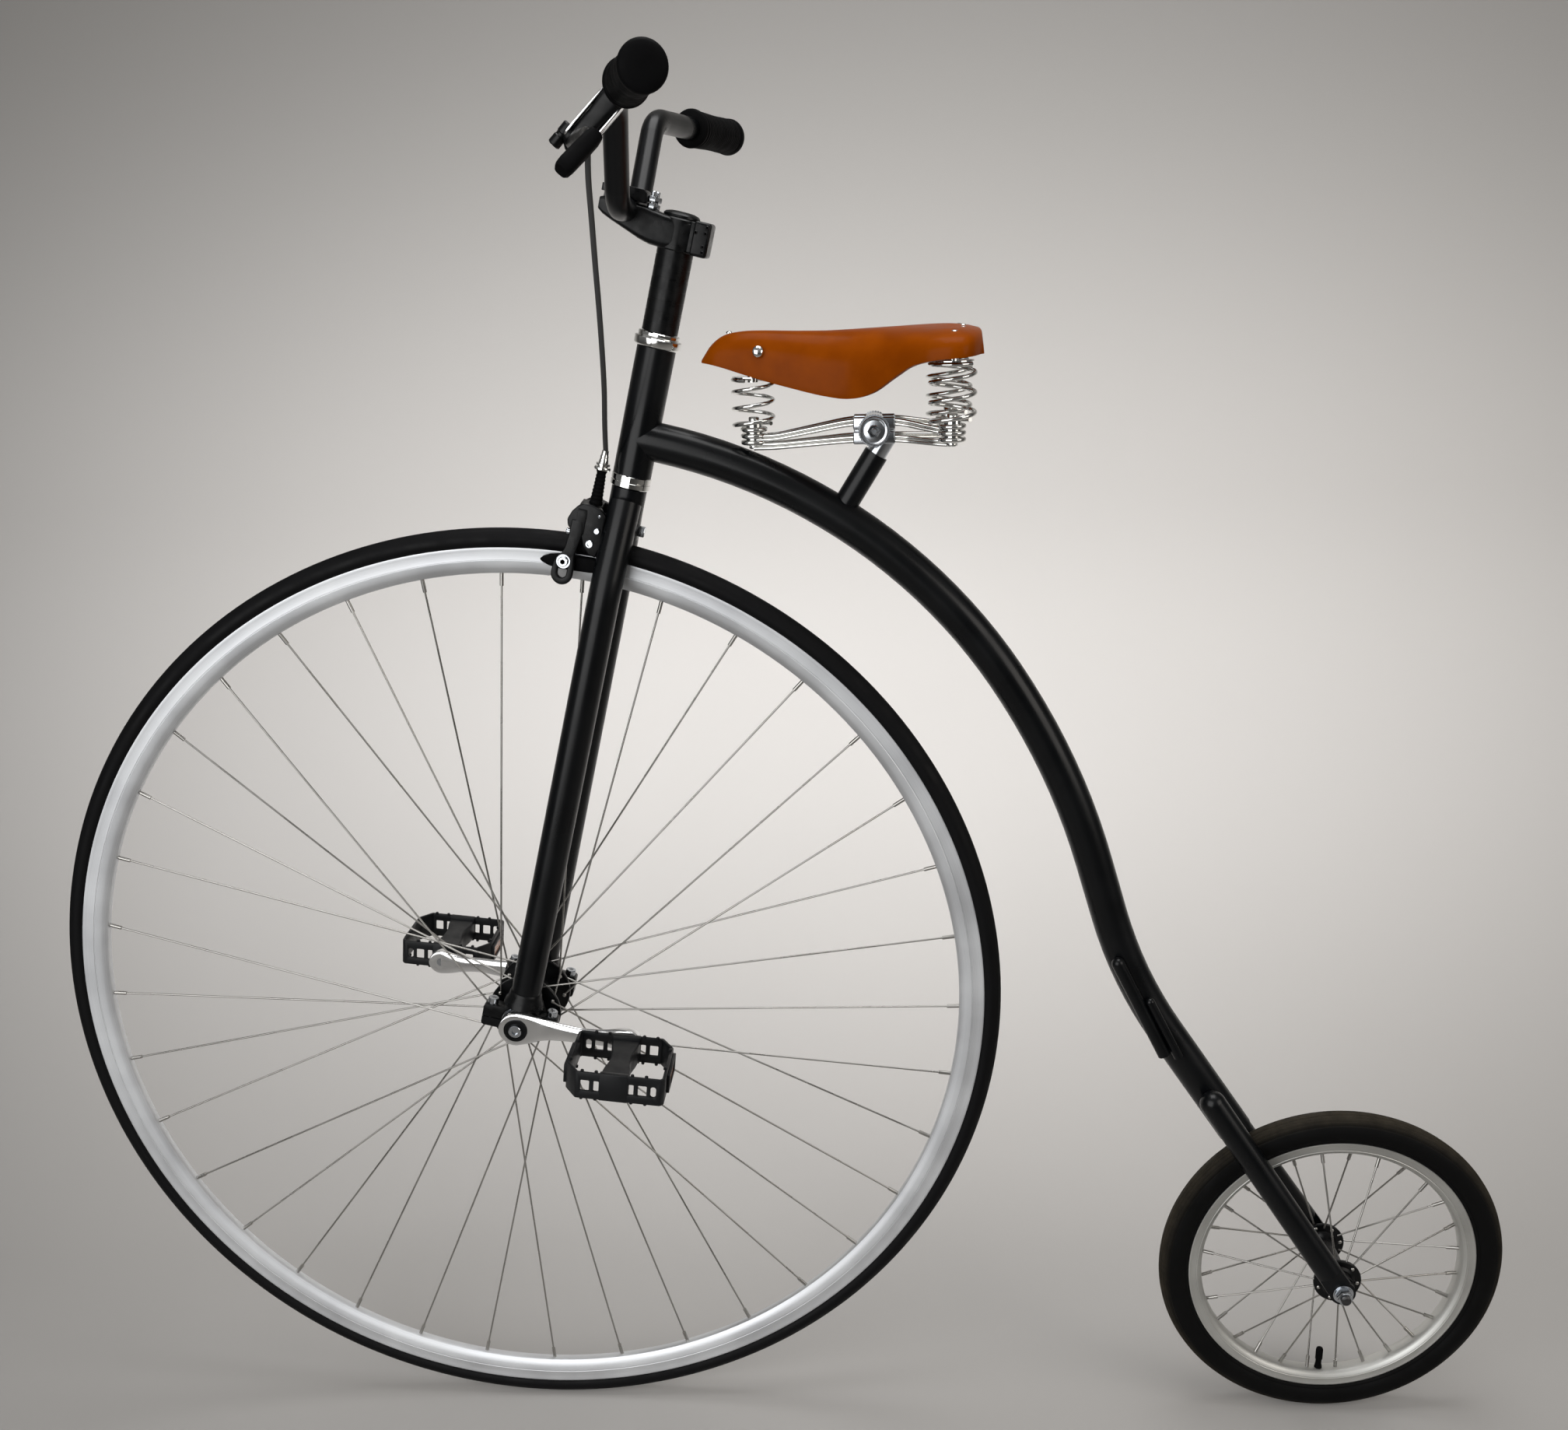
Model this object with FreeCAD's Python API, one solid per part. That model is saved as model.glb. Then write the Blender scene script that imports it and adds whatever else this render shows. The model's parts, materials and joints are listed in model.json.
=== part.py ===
import FreeCAD, Part
import math
import os

# Penny farthing bicycle with a high spoked front wheel and a small rear wheel.
# All sizes are millimetres. The model is built with +X to the rear, +Y to the rider's right and
# +Z up, from the point of the floor under the front axle. It is moved at the end so that the
# origin is the rider's place on the saddle.

V = FreeCAD.Vector
FULL_TURN = 360.0

# Wheels
front_radius = 515.0
front_tyre_width = 25.0
front_rim_edge_radius = front_radius - 18.0
front_rim_width = 19.0
front_rim_depth = 27.0
front_spoke_count = 36
front_spoke_phase = 0.91
front_spoke_crossing_deg = 49.0
front_first_flange = -1
front_flange_radius = 39.0
front_spoke_circle = 33.0
front_flange_spread = 56.0
front_barrel_radius = 17.0
rear_radius = 190.0
rear_tyre_width = 36.0
rear_rim_edge_radius = rear_radius - 31.0
rear_rim_width = 25.0
rear_rim_depth = 16.0
rear_spoke_count = 28
rear_spoke_phase = 0.61
rear_spoke_crossing_deg = 0.0
rear_first_flange = 1
rear_flange_radius = 26.0
rear_spoke_circle = 21.5
rear_flange_spread = 74.0
rear_barrel_radius = 13.0
wheelbase = 891.0
rim_taper = 0.45
spoke_diameter = 2.0
spoke_stagger = 2.0
nipple_diameter = 4.0
nipple_length = 13.0
flange_thickness = 4.0
valve_diameter = 7.2
valve_length = 34.0
bearing_clearance = 0.05
side_gap = 2.0
trim = 1.0

# Fork crown and steering head, along the steering axis from the front axle
steer_tilt_deg = 14.4
crown_bottom = front_radius + 6.0
crown_length = 49.0
crown_diameter = 34.8
head_length = 122.0
head_tube_diameter = 37.6
head_tube_wall = 2.6
steerer_diameter = 28.6
lower_ring_height = 12.0
lower_ring_diameter = 38.6
upper_ring_height = 14.0
upper_ring_diameter = 45.0
head_gap = 0.6
spacer_diameter = 34.6
spacer_height = 10.0
spacer_count = 7
spacer_groove = 0.5
head_bottom = crown_bottom + crown_length + lower_ring_height
head_top = head_bottom + head_length
stack_bottom = head_top + upper_ring_height
stem_bottom = stack_bottom + spacer_height * (spacer_count + 0.5)

# Stem, from its foot on the spacers
stem_height = 29.0
stem_width = 38.0
stem_reach = 50.6
stem_flat = 26.0
stem_tip_reach = 74.0
stem_tip_rise = 15.0
stem_collar_radius = 19.0
stem_plate_near = 13.0
stem_plate_far = 29.0
stem_lid_height = 3.5
stem_bolt_diameter = 6.0
bar_clamp_radius = 16.5
bar_clamp_ear = 30.0
bar_clamp_ear_height = 8.0

# Fork blades and the bearings at their feet
blade_diameter = 31.8
blade_foot_spread = 100.0
bearing_spread = 110.0
blade_shoulder_spread = 71.8
blade_top_spread = 21.0
blade_shoulder_below_crown = 51.0
blade_top_above_crown = 35.0
blade_bend_radius = 110.0
bearing_block_length = 80.0
bearing_block_width = 15.0
bearing_block_top = 14.0
bearing_block_low = 10.0
bearing_split = 1.0
bearing_housing_radius = 23.0
bearing_radius = 19.0
blade_collar_height = 11.0
blade_collar_wall = 1.4
bearing_bolt_diameter = 8.0
bearing_bolt_head = 11.0
bearing_bolt_inset = 8.0
bearing_bolt_head_height = 6.0
axle_diameter = 24.0

# Cranks and pedals
crank_length = 122.0
crank_angle_deg = -3.5
crank_boss_radius = 18.5
crank_inner_face = 67.5
crank_boss_width = 11.5
crank_eye_radius = 12.5
crank_eye_width = 12.0
crank_set_out = 6.0
axle_end_inset = 3.0
# columns: share of the length, inner and outer face from the boss, top and bottom edge
crank_sections = [(0.0, 3.0, -0.5, 17.0, 17.5), (0.2, 5.0, 1.5, 14.5, 14.5),
                  (0.42, 8.5, 4.5, 11.0, 12.0), (0.7, 11.0, 6.5, 8.0, 10.5),
                  (1.0, 18.0, 16.5, 10.0, 10.0)]
crank_washer_radius = 12.0
crank_washer_thickness = 1.5
crank_bolt_radius = 6.5
crank_bolt_height = 2.5
pedal_length = 101.0
pedal_width = 92.0
pedal_thickness = 29.0
pedal_corner_along = 15.0
pedal_corner_across = 23.0
pedal_gap = 5.0
pedal_wall = 6.0
pedal_spine_width = 27.0
pedal_spindle_diameter = 9.5
pedal_tilt_deg = 6.5
pedal_slot_width = 7.0
pedal_slot_height = 15.0
pedal_slot_pitch = 10.5
reflector_width = 42.0
reflector_height = 13.0
reflector_depth = 3.0

# Backbone: it leaves the head tube, bends over the front wheel and aims at the rear axle
backbone_diameter = 38.0
backbone_start_above_head = 35.4
backbone_start_slope_deg = -11.4
backbone_first_radius = 570.0
backbone_first_turn_deg = 44.5
backbone_second_radius = 748.0
backbone_second_turn_deg = 17.0
backbone_straight = 62.0
backbone_last_radius = 498.0
backbone_end_to_axle = 206.0

# Rear fork
leg_diameter = 28.0
leg_top_to_axle = 262.0
leg_top_spread = 58.0
leg_foot_spread = 116.0
dropout_thickness = 9.0
rear_axle_diameter = 10.0
rear_axle_length = 158.0
nut_size = 17.0
nut_height = 9.0
washer_radius = 11.0
washer_thickness = 1.6

# Mounting steps: rounded bars on the left of the backbone, by distance along it from its foot
# columns: distance of the top and the foot, ahead of the centre line at top and foot, radius
step_bars = [(249.0, 132.0, 8.0, 13.0, 7.0), (193.5, 121.0, -4.7, 2.0, 5.0)]
step_across = 23.0

# Seat post and saddle
seat_post_turn_deg = 21.0
seat_post_diameter = 24.0
seat_post_length = 70.0
seat_pin_diameter = 20.0
seat_pin_length = 22.0
clamp_behind_pin = 13.593
clamp_above_pin = 4.806
clamp_disc_radius = 14.5
clamp_half_width = 21.0
clamp_bolt_half_width = 29.0
clamp_bolt_radius = 5.0
saddle_height = 91.0
saddle_length = 263.0
saddle_nose_ahead = 164.0
rider_behind_clamp = 23.0
leather_thickness = 5.0
# columns: share of the length, top and skirt below the crown line, half width, shoulder's roundness
saddle_sections = [(0.0, 22.0, 26.0, 5.0, 0.3), (0.03, 12.0, 27.0, 12.0, 0.4),
                   (0.12, 0.5, 33.0, 19.0, 0.5), (0.3, -0.5, 49.0, 25.0, 0.55),
                   (0.46, 0.5, 60.0, 36.0, 0.55), (0.57, 0.5, 58.0, 50.0, 0.5),
                   (0.67, 0.0, 44.0, 66.0, 0.45), (0.76, -1.5, 29.0, 84.0, 0.4),
                   (0.88, -2.5, 24.0, 100.0, 0.3), (0.96, -1.0, 22.0, 92.0, 0.3),
                   (1.0, 1.0, 20.0, 60.0, 0.3)]
saddle_rise_at_wings = 0.12
# shares of the half width where the top bends, and the least thickness and width inside
saddle_shoulder_share = 0.85
saddle_crown_share = 0.45
saddle_crown_roundness = 0.12
saddle_least_share = 0.4
rail_diameter = 6.4
rail_half_spread = 16.0
rail_half_flat = 22.0
front_coil_ahead = 116.0
rear_coil_behind = 73.0
rear_coil_spread = 88.0
coil_radius = 17.5
coil_wire = 4.5
front_coil_foot = 4.0
front_coil_height = 46.0
front_coil_turns = 3
rear_coil_foot = 7.0
rear_coil_height = 56.0
rear_coil_turns = 4
coil_seat_radius = 10.0
coil_seat_depth = 19.2
rail_grip_share = 0.7
lower_rail_front_drop = 16.6
lower_rail_rear_drop = 15.4
plate_thickness = 5.0
plate_below_top = 17.0
plate_half_length = 14.0
nose_plate_half_width = 9.0
tail_plate_half_width = 66.0

# Handlebar, in the steering frame: across, ahead of the axis and up from the stem's foot
bar_diameter = 22.2
bar_above_stem_foot = 25.5
bar_clamp_half_width = 62.0
bar_rise = 86.0
bar_top_half_width = 126.0
bar_top_forward = 60.0
bar_end_half_width = 342.0
bar_end_forward = 7.0
bar_end_rise = 11.0
bar_bend_radius = 38.0
bar_height = stem_bottom + bar_above_stem_foot
grip_length = 124.0
grip_diameter = 30.0
grip_flange_diameter = 38.0
grip_flange_width = 5.0
grip_end_diameter = 37.0
grip_overhang = 3.0

# Brake lever, from the bar at the grip's flange
lever_clamp_width = 16.0
lever_clamp_wall = 4.0
lever_drop = 50.0
lever_forward = 30.0
lever_body_width = 15.0
lever_body_depth = 19.0
lever_blade_width = 22.0
lever_blade_thickness = 7.0
lever_length = 92.0
lever_tip_inward = 11.0
lever_tip_drop = 22.0
lever_tip_block = 26.0
lever_cheek_margin = 3.0
lever_cheek_thickness = 2.0

# Brake cable, from the lever's body to the caliper
cable_diameter = 5.0
cable_bend_share = 0.45
# columns: share of the way from the lever to the caliper, then sideways bow ahead and across
cable_bows = [(0.0, 0.0, 0.0), (0.107, 1.8, 2.0), (0.221, -0.4, 8.0), (0.35, -2.6, 16.0),
              (0.49, -4.8, 21.0), (0.627, -5.7, 22.0), (0.764, -5.0, 17.0), (0.893, -2.0, 9.0),
              (1.0, 0.0, 0.0)]
cable_start_ahead = 24.0
cable_start_below = 43.0
cable_start_inward = 12.0
ferrule_length = 12.0
ferrule_diameter = 8.0
adjuster_height = 5.0
adjuster_diameter = 16.0
boot_length = 36.0
boot_top_diameter = 10.0
boot_foot_diameter = 12.0
boot_ahead = 28.5
boot_across = 9.0

# Caliper, on one bolt through the crown, reaching down to the rim
pivot_above_crown = 9.0
pivot_diameter = 6.0
pivot_nut_radius = 6.0
pivot_nut_length = 6.0
pivot_front_reach = 49.0
collar_radius = 9.0
arm_ahead = 46.5
arm_leg_width = 20.0
arm_leg_thickness = 6.0
arm_leg_face = 22.0
arm_slot_width = 6.4
arm_slot_length = 13.0
arm_bridge_thickness = 9.0
arm_bridge_near = 23.0
arm_bridge_low = 9.0
arm_bridge_high = 17.0
pad_below_edge = 8.5
pad_length = 57.0
pad_width = 14.0
pad_inner_face = 11.0
pad_outer_face = 20.0
pad_point = 16.0
pad_bolt_radius = 6.0
pad_bolt_length = 3.0
pivot_height = crown_bottom + pivot_above_crown
boot_foot_height = pivot_height + arm_bridge_high

front_axle = V(0.0, 0.0, front_radius)
rear_axle = V(wheelbase, 0.0, rear_radius)


def rod(start, end, radius):
    axis = end.sub(start)
    return Part.makeCylinder(radius, axis.Length, start, axis, FULL_TURN)


def cross_rod(centre, near, far, radius):
    """A rod across the bike, from one distance to another."""
    return rod(centre.add(V(0, near, 0)), centre.add(V(0, far, 0)), radius)


def sleeve(start, end, outer, inner):
    return rod(start, end, outer).cut(rod(start, end, inner))


def box(low, high):
    size = high.sub(low)
    return Part.makeBox(size.x, size.y, size.z, low)


def joined(shapes):
    whole = shapes[0]
    if len(shapes) > 1:
        whole = whole.multiFuse(shapes[1:])
    return whole.removeSplitter()


def mirrored(shape):
    return shape.mirror(V(0, 0, 0), V(0, 1, 0))


def steered(shape):
    """Places a piece made in the steering frame: X to the rear, Z up the steering axis."""
    placed = shape.copy()
    placed.rotate(V(0, 0, 0), V(0, 1, 0), steer_tilt_deg)
    placed.translate(front_axle)
    return placed


def bent_path(points, radii):
    """Straight runs joined by tangent arcs, one radius for each inner point."""
    edges = []
    start = points[0]
    for before, corner, after, radius in zip(points, points[1:], points[2:], radii):
        back = before.sub(corner).normalize()
        ahead = after.sub(corner).normalize()
        turn = math.pi - back.getAngle(ahead)
        reach = radius * math.tan(turn / 2)
        inwards = back.add(ahead).normalize()
        centre = corner.add(inwards.multiply(radius / math.cos(turn / 2)))
        first = corner.add(V(back).multiply(reach))
        last = corner.add(V(ahead).multiply(reach))
        middle = centre.add(corner.sub(centre).normalize().multiply(radius))
        edges.append(Part.LineSegment(start, first).toShape())
        edges.append(Part.Arc(first, middle, last).toShape())
        start = last
    edges.append(Part.LineSegment(start, points[-1]).toShape())
    return Part.Wire(edges)


def tube_on(path, radius):
    first = path.Edges[0]
    start = first.valueAt(first.FirstParameter)
    along = first.tangentAt(first.FirstParameter)
    ring = Part.Wire([Part.makeCircle(radius, start, along)])
    return path.makePipeShell([ring], True, False)


def turned(profile, centre):
    """A closed outline of (radius, across) points turned round a wheel's axle."""
    corners = [centre.add(V(0, across, radius)) for radius, across in profile]
    face = Part.Face(Part.makePolygon(corners + corners[:1]))
    return face.revolve(centre, V(0, 1, 0), FULL_TURN)


def tyre(centre, radius, width, edge_radius, rim_width):
    """A round tread on side walls that come in to the rim's edges."""
    half = width / 2
    round_centre = radius - half
    below = min(abs(edge_radius - round_centre), half - trim)
    foot = min(rim_width / 2, math.sqrt(half ** 2 - below ** 2))
    low = centre.add(V(0, -foot, edge_radius))
    high = centre.add(V(0, foot, edge_radius))
    near = centre.add(V(0, -half, round_centre + trim))
    far = centre.add(V(0, half, round_centre + trim))
    top = centre.add(V(0, 0, radius))
    edges = [Part.LineSegment(low, near).toShape(), Part.Arc(near, top, far).toShape()]
    edges.append(Part.LineSegment(far, high).toShape())
    edges.append(Part.LineSegment(high, low).toShape())
    return Part.Face(Part.Wire(edges)).revolve(centre, V(0, 1, 0), FULL_TURN)


def rim(centre, edge_radius, width, depth):
    half = width / 2
    inner = edge_radius - depth
    track = edge_radius - depth / 2
    narrow = half * rim_taper
    outline = [(edge_radius, -half), (track, -half), (inner, -narrow), (inner, narrow), (track, half)]
    outline += [(edge_radius, half)]
    return turned(outline, centre)


def spokes(centre, count, phase, first_flange, crossing_deg, circle, spread, rim_inner):
    """Spokes in turn to one flange and the other, laced ahead and behind in pairs."""
    pieces = []
    for index in range(count):
        side = first_flange if index % 2 == 0 else -first_flange
        ahead = 1 if (index // 2) % 2 == 0 else -1
        rim_angle = math.radians(FULL_TURN / count * (index + phase))
        hub_angle = rim_angle + math.radians(crossing_deg) * ahead
        across = side * (spread / 2 + spoke_stagger * ahead)
        foot = centre.add(V(circle * math.cos(hub_angle), across, circle * math.sin(hub_angle)))
        head = centre.add(V(rim_inner * math.cos(rim_angle), 0, rim_inner * math.sin(rim_angle)))
        inward = foot.sub(head).normalize()
        sunk = head.sub(V(inward).multiply(trim))
        wire = rod(foot, sunk, spoke_diameter / 2)
        nipple = rod(sunk, head.add(V(inward).multiply(nipple_length)), nipple_diameter / 2)
        pieces.append(joined([wire, nipple]))
    return pieces


def spoke_set(laced, rim_shape, hub_shape):
    """Each spoke without what the rim and the flange fill; the longest piece of each is kept."""
    trimmed = []
    for piece in laced:
        parts = piece.cut(rim_shape).cut(hub_shape).Solids
        trimmed.append(max(parts, key=lambda solid: solid.Volume))
    return Part.makeCompound(trimmed)


def hub(centre, barrel_radius, flange_radius, spread, bore_radius, end_across):
    inner = spread / 2 - flange_thickness / 2
    outer = spread / 2 + flange_thickness / 2
    half = [(barrel_radius, inner), (flange_radius, inner), (flange_radius, outer)]
    half += [(barrel_radius, outer), (barrel_radius, end_across)]
    outline = [(bore_radius, -end_across)] + [(r, -across) for r, across in reversed(half)]
    outline += half + [(bore_radius, end_across)]
    return turned(outline, centre)


def front_wheel():
    metal = rim(front_axle, front_rim_edge_radius, front_rim_width, front_rim_depth)
    ends = bearing_spread / 2 - bearing_block_width / 2 - side_gap
    shell = hub(front_axle, front_barrel_radius, front_flange_radius, front_flange_spread,
                axle_diameter / 2, ends)
    axle_end = crank_inner_face + crank_boss_width - axle_end_inset
    axle = cross_rod(front_axle, -axle_end, axle_end, axle_diameter / 2)
    laced = spokes(front_axle, front_spoke_count, front_spoke_phase, front_first_flange,
                   front_spoke_crossing_deg, front_spoke_circle, front_flange_spread,
                   front_rim_edge_radius - front_rim_depth)
    rubber = tyre(front_axle, front_radius, front_tyre_width, front_rim_edge_radius, front_rim_width)
    return {"front_tyre": rubber, "front_rim": metal, "front_hub": shell, "front_axle": axle,
            "front_spokes": spoke_set(laced, metal, shell)}


def rear_wheel():
    metal = rim(rear_axle, rear_rim_edge_radius, rear_rim_width, rear_rim_depth)
    ends = leg_foot_spread / 2 - dropout_thickness / 2 - trim
    bore = rear_axle_diameter / 2 + bearing_clearance
    shell = hub(rear_axle, rear_barrel_radius, rear_flange_radius, rear_flange_spread, bore, ends)
    rim_inner = rear_rim_edge_radius - rear_rim_depth
    laced = spokes(rear_axle, rear_spoke_count, rear_spoke_phase, rear_first_flange,
                   rear_spoke_crossing_deg, rear_spoke_circle, rear_flange_spread, rim_inner)
    rubber = tyre(rear_axle, rear_radius, rear_tyre_width, rear_rim_edge_radius, rear_rim_width)
    low = rear_axle.add(V(0, 0, -rim_inner - trim))
    valve = rod(low, low.add(V(0, 0, valve_length)), valve_diameter / 2)
    return {"rear_tyre": rubber, "rear_rim": metal, "rear_hub": shell, "rear_valve": valve.cut(metal),
            "rear_spokes": spoke_set(laced, metal, shell)}


def crank_faces():
    """Distances across: the boss's two faces, then the eye's two."""
    boss_outer = crank_inner_face + crank_boss_width
    eye_inner = boss_outer + crank_set_out
    return crank_inner_face, boss_outer, eye_inner, eye_inner + crank_eye_width


def crank_turn(side):
    """The left arm points to the rear, and the right one is opposite to it."""
    return crank_angle_deg if side < 0 else crank_angle_deg + FULL_TURN / 2


def on_crank(shape, side):
    """Places a piece drawn on the right side, with its arm along +X, on its own side."""
    placed = shape.copy() if side > 0 else mirrored(shape)
    placed.rotate(V(0, 0, 0), V(0, 1, 0), -crank_turn(side))
    placed.translate(front_axle)
    return placed


def crank():
    """One forged arm with its spindle and its bolt, drawn pointing along +X on the right side."""
    inner, outer, eye_inner, eye_outer = crank_faces()
    boss = rod(V(0, inner, 0), V(0, outer, 0), crank_boss_radius)
    eye = rod(V(crank_length, eye_inner, 0), V(crank_length, eye_outer, 0), crank_eye_radius)
    outlines = []
    for share, near, far, top, bottom in crank_sections:
        along = crank_length * share
        corners = [V(along, inner + near, -bottom), V(along, outer + far, -bottom),
                   V(along, outer + far, top), V(along, inner + near, top)]
        outlines.append(Part.makePolygon(corners + corners[:1]))
    arm = joined([Part.makeLoft(outlines, True, True), boss, eye])
    arm = arm.cut(rod(V(0, 0, 0), V(0, outer - axle_end_inset, 0), axle_diameter / 2))
    spindle_end = eye_outer + pedal_gap + pedal_width - pedal_wall
    spindle = rod(V(crank_length, eye_inner, 0), V(crank_length, spindle_end, 0),
                  pedal_spindle_diameter / 2)
    arm = arm.cut(spindle)
    washer_end = outer + crank_washer_thickness
    washer = rod(V(0, outer, 0), V(0, washer_end, 0), crank_washer_radius)
    screw = rod(V(0, washer_end, 0), V(0, washer_end + crank_bolt_height, 0), crank_bolt_radius)
    bolt = joined([washer, screw])
    return arm.cut(bolt), spindle, bolt


def pedal_outline(wall):
    """The plan of the pedal, its corners cut off, drawn in by a wall's thickness."""
    inner = crank_faces()[3] + pedal_gap + wall
    outer = crank_faces()[3] + pedal_gap + pedal_width - wall
    half = pedal_length / 2 - wall
    near = half - pedal_corner_along
    return [V(-near, inner, 0), V(near, inner, 0), V(half, inner + pedal_corner_across, 0),
            V(half, outer - pedal_corner_across, 0), V(near, outer, 0), V(-near, outer, 0),
            V(-half, outer - pedal_corner_across, 0), V(-half, inner + pedal_corner_across, 0)]


def prism(corners, low, high):
    """An outline in plan, carried from a low to a high level."""
    placed = [corner.add(V(0, 0, low)) for corner in corners]
    return Part.Face(Part.makePolygon(placed + placed[:1])).extrude(V(0, 0, high - low))


def pedal():
    """An open cage on a spine that holds the spindle, slots in its walls, a reflector at each end."""
    thick = pedal_thickness / 2
    inner = crank_faces()[3] + pedal_gap
    outer = inner + pedal_width
    middle = (inner + outer) / 2
    body = prism(pedal_outline(0.0), -thick, thick)
    room = prism(pedal_outline(pedal_wall), -thick - trim, thick + trim)
    spine = box(V(-pedal_spine_width / 2, inner - trim, -thick),
                V(pedal_spine_width / 2, outer + trim, thick))
    body = body.cut(room.cut(spine))
    for side in (-1, 1):
        for place in range(3):
            along = side * (pedal_spine_width / 2 + pedal_wall / 2 + pedal_slot_pitch * place)
            far = along + side * pedal_slot_width
            low = V(min(along, far), inner - trim, -pedal_slot_height / 2)
            if max(abs(along), abs(far)) < pedal_length / 2 - pedal_corner_along + trim:
                body = body.cut(box(low, V(max(along, far), outer + trim, pedal_slot_height / 2)))
    bore = pedal_spindle_diameter / 2 + bearing_clearance
    body = body.cut(rod(V(0, inner - trim, 0), V(0, outer - pedal_wall + trim, 0), bore))
    lamps = []
    for end in (-1, 1):
        face = end * pedal_length / 2
        deep = face - end * reflector_depth / 2
        proud = face + end * reflector_depth / 2
        low = V(min(deep, proud), middle - reflector_width / 2, -reflector_height / 2)
        high = V(max(deep, proud), middle + reflector_width / 2, reflector_height / 2)
        lamps.append(box(low, high))
    for lamp in lamps:
        body = body.cut(lamp)
    return body, Part.makeCompound(lamps)


def on_spindle(shape, side):
    angle = math.radians(crank_turn(side))
    placed = shape.copy() if side > 0 else mirrored(shape)
    placed.rotate(V(0, 0, 0), V(0, 1, 0), pedal_tilt_deg)
    placed.translate(front_axle.add(V(crank_length * math.cos(angle), 0, crank_length * math.sin(angle))))
    return placed


def drive():
    arm, spindle, bolt = crank()
    body, lamps = pedal()
    sides = (-1, 1)
    pieces = {"cranks": Part.makeCompound([on_crank(arm, side) for side in sides])}
    pieces["pedal_spindles"] = Part.makeCompound([on_crank(spindle, side) for side in sides])
    pieces["crank_bolts"] = Part.makeCompound([on_crank(bolt, side) for side in sides])
    for name, side in (("left", -1), ("right", 1)):
        pieces["pedal_" + name] = on_spindle(body, side)
        pieces["pedal_reflectors_" + name] = on_spindle(lamps, side)
    return pieces


def arc_spot(start, slope, radius, turned_by):
    """Where a downward bend has come to, and its slope there."""
    centre = start.add(V(math.sin(slope), 0, -math.cos(slope)).multiply(radius))
    now = slope - turned_by
    return centre.add(V(-math.sin(now), 0, math.cos(now)).multiply(radius)), now


def backbone_line():
    """Edges of the centre line, its last direction, and the seat post's foot and direction."""
    slope = math.radians(backbone_start_slope_deg)
    tilt = math.radians(steer_tilt_deg)
    height = head_bottom + backbone_start_above_head
    spot = front_axle.add(V(height * math.sin(tilt), 0, height * math.cos(tilt)))
    edges = []
    post_foot, post_slope = arc_spot(spot, slope, backbone_first_radius, math.radians(seat_post_turn_deg))
    post_up = V(-math.sin(post_slope), 0, math.cos(post_slope))
    bends = [(backbone_first_radius, backbone_first_turn_deg),
             (backbone_second_radius, backbone_second_turn_deg)]
    for radius, turn_deg in bends:
        turn = math.radians(turn_deg)
        middle, half_slope = arc_spot(spot, slope, radius, turn / 2)
        end, slope = arc_spot(spot, slope, radius, turn)
        edges.append(Part.Arc(spot, middle, end).toShape())
        spot = end
    along = V(math.cos(slope), 0, math.sin(slope))
    end = spot.add(along.multiply(backbone_straight))
    edges.append(Part.LineSegment(spot, end).toShape())
    spot = end
    centre = spot.add(V(-math.sin(slope), 0, math.cos(slope)).multiply(backbone_last_radius))
    to_axle = rear_axle.sub(centre)
    last = math.atan2(to_axle.z, to_axle.x) + math.asin(backbone_last_radius / to_axle.Length)
    outward = [V(math.sin(angle), 0, -math.cos(angle)) for angle in ((slope + last) / 2, last)]
    middle, end = [centre.add(direction.multiply(backbone_last_radius)) for direction in outward]
    edges.append(Part.Arc(spot, middle, end).toShape())
    along = V(math.cos(last), 0, math.sin(last))
    foot = rear_axle.sub(V(along).multiply(backbone_end_to_axle))
    edges.append(Part.LineSegment(end, foot).toShape())
    return Part.Wire(edges), along, post_foot, post_up


def seat_places():
    """The seat post's foot, top and pin top, and the middle of the clamp."""
    along, foot, up = backbone_line()[1:]
    top = foot.add(V(up).multiply(seat_post_length))
    pin_top = top.add(V(up).multiply(seat_pin_length))
    return foot, top, pin_top, pin_top.add(V(-clamp_behind_pin, 0, clamp_above_pin))


def rider_place():
    clamp = seat_places()[3]
    return V(clamp.x + rider_behind_clamp, 0, clamp.z + saddle_height)


def head_line(height, ahead=0.0, across=0.0):
    return V(-ahead, across, height)


def ahead_rod(height, start, end, radius):
    """A rod along the steering frame, from one distance ahead of the axis to another."""
    return rod(head_line(height, start), head_line(height, end), radius)


def head():
    outer = head_tube_diameter / 2
    tube = sleeve(head_line(head_bottom), head_line(head_top), outer, outer - head_tube_wall)
    bore = steerer_diameter / 2 + bearing_clearance
    lower = sleeve(head_line(head_bottom - lower_ring_height), head_line(head_bottom),
                   lower_ring_diameter / 2, bore)
    upper = sleeve(head_line(head_top), head_line(head_top + upper_ring_height),
                   upper_ring_diameter / 2, bore)
    return steered(tube), steered(Part.makeCompound([lower, upper]))


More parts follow.
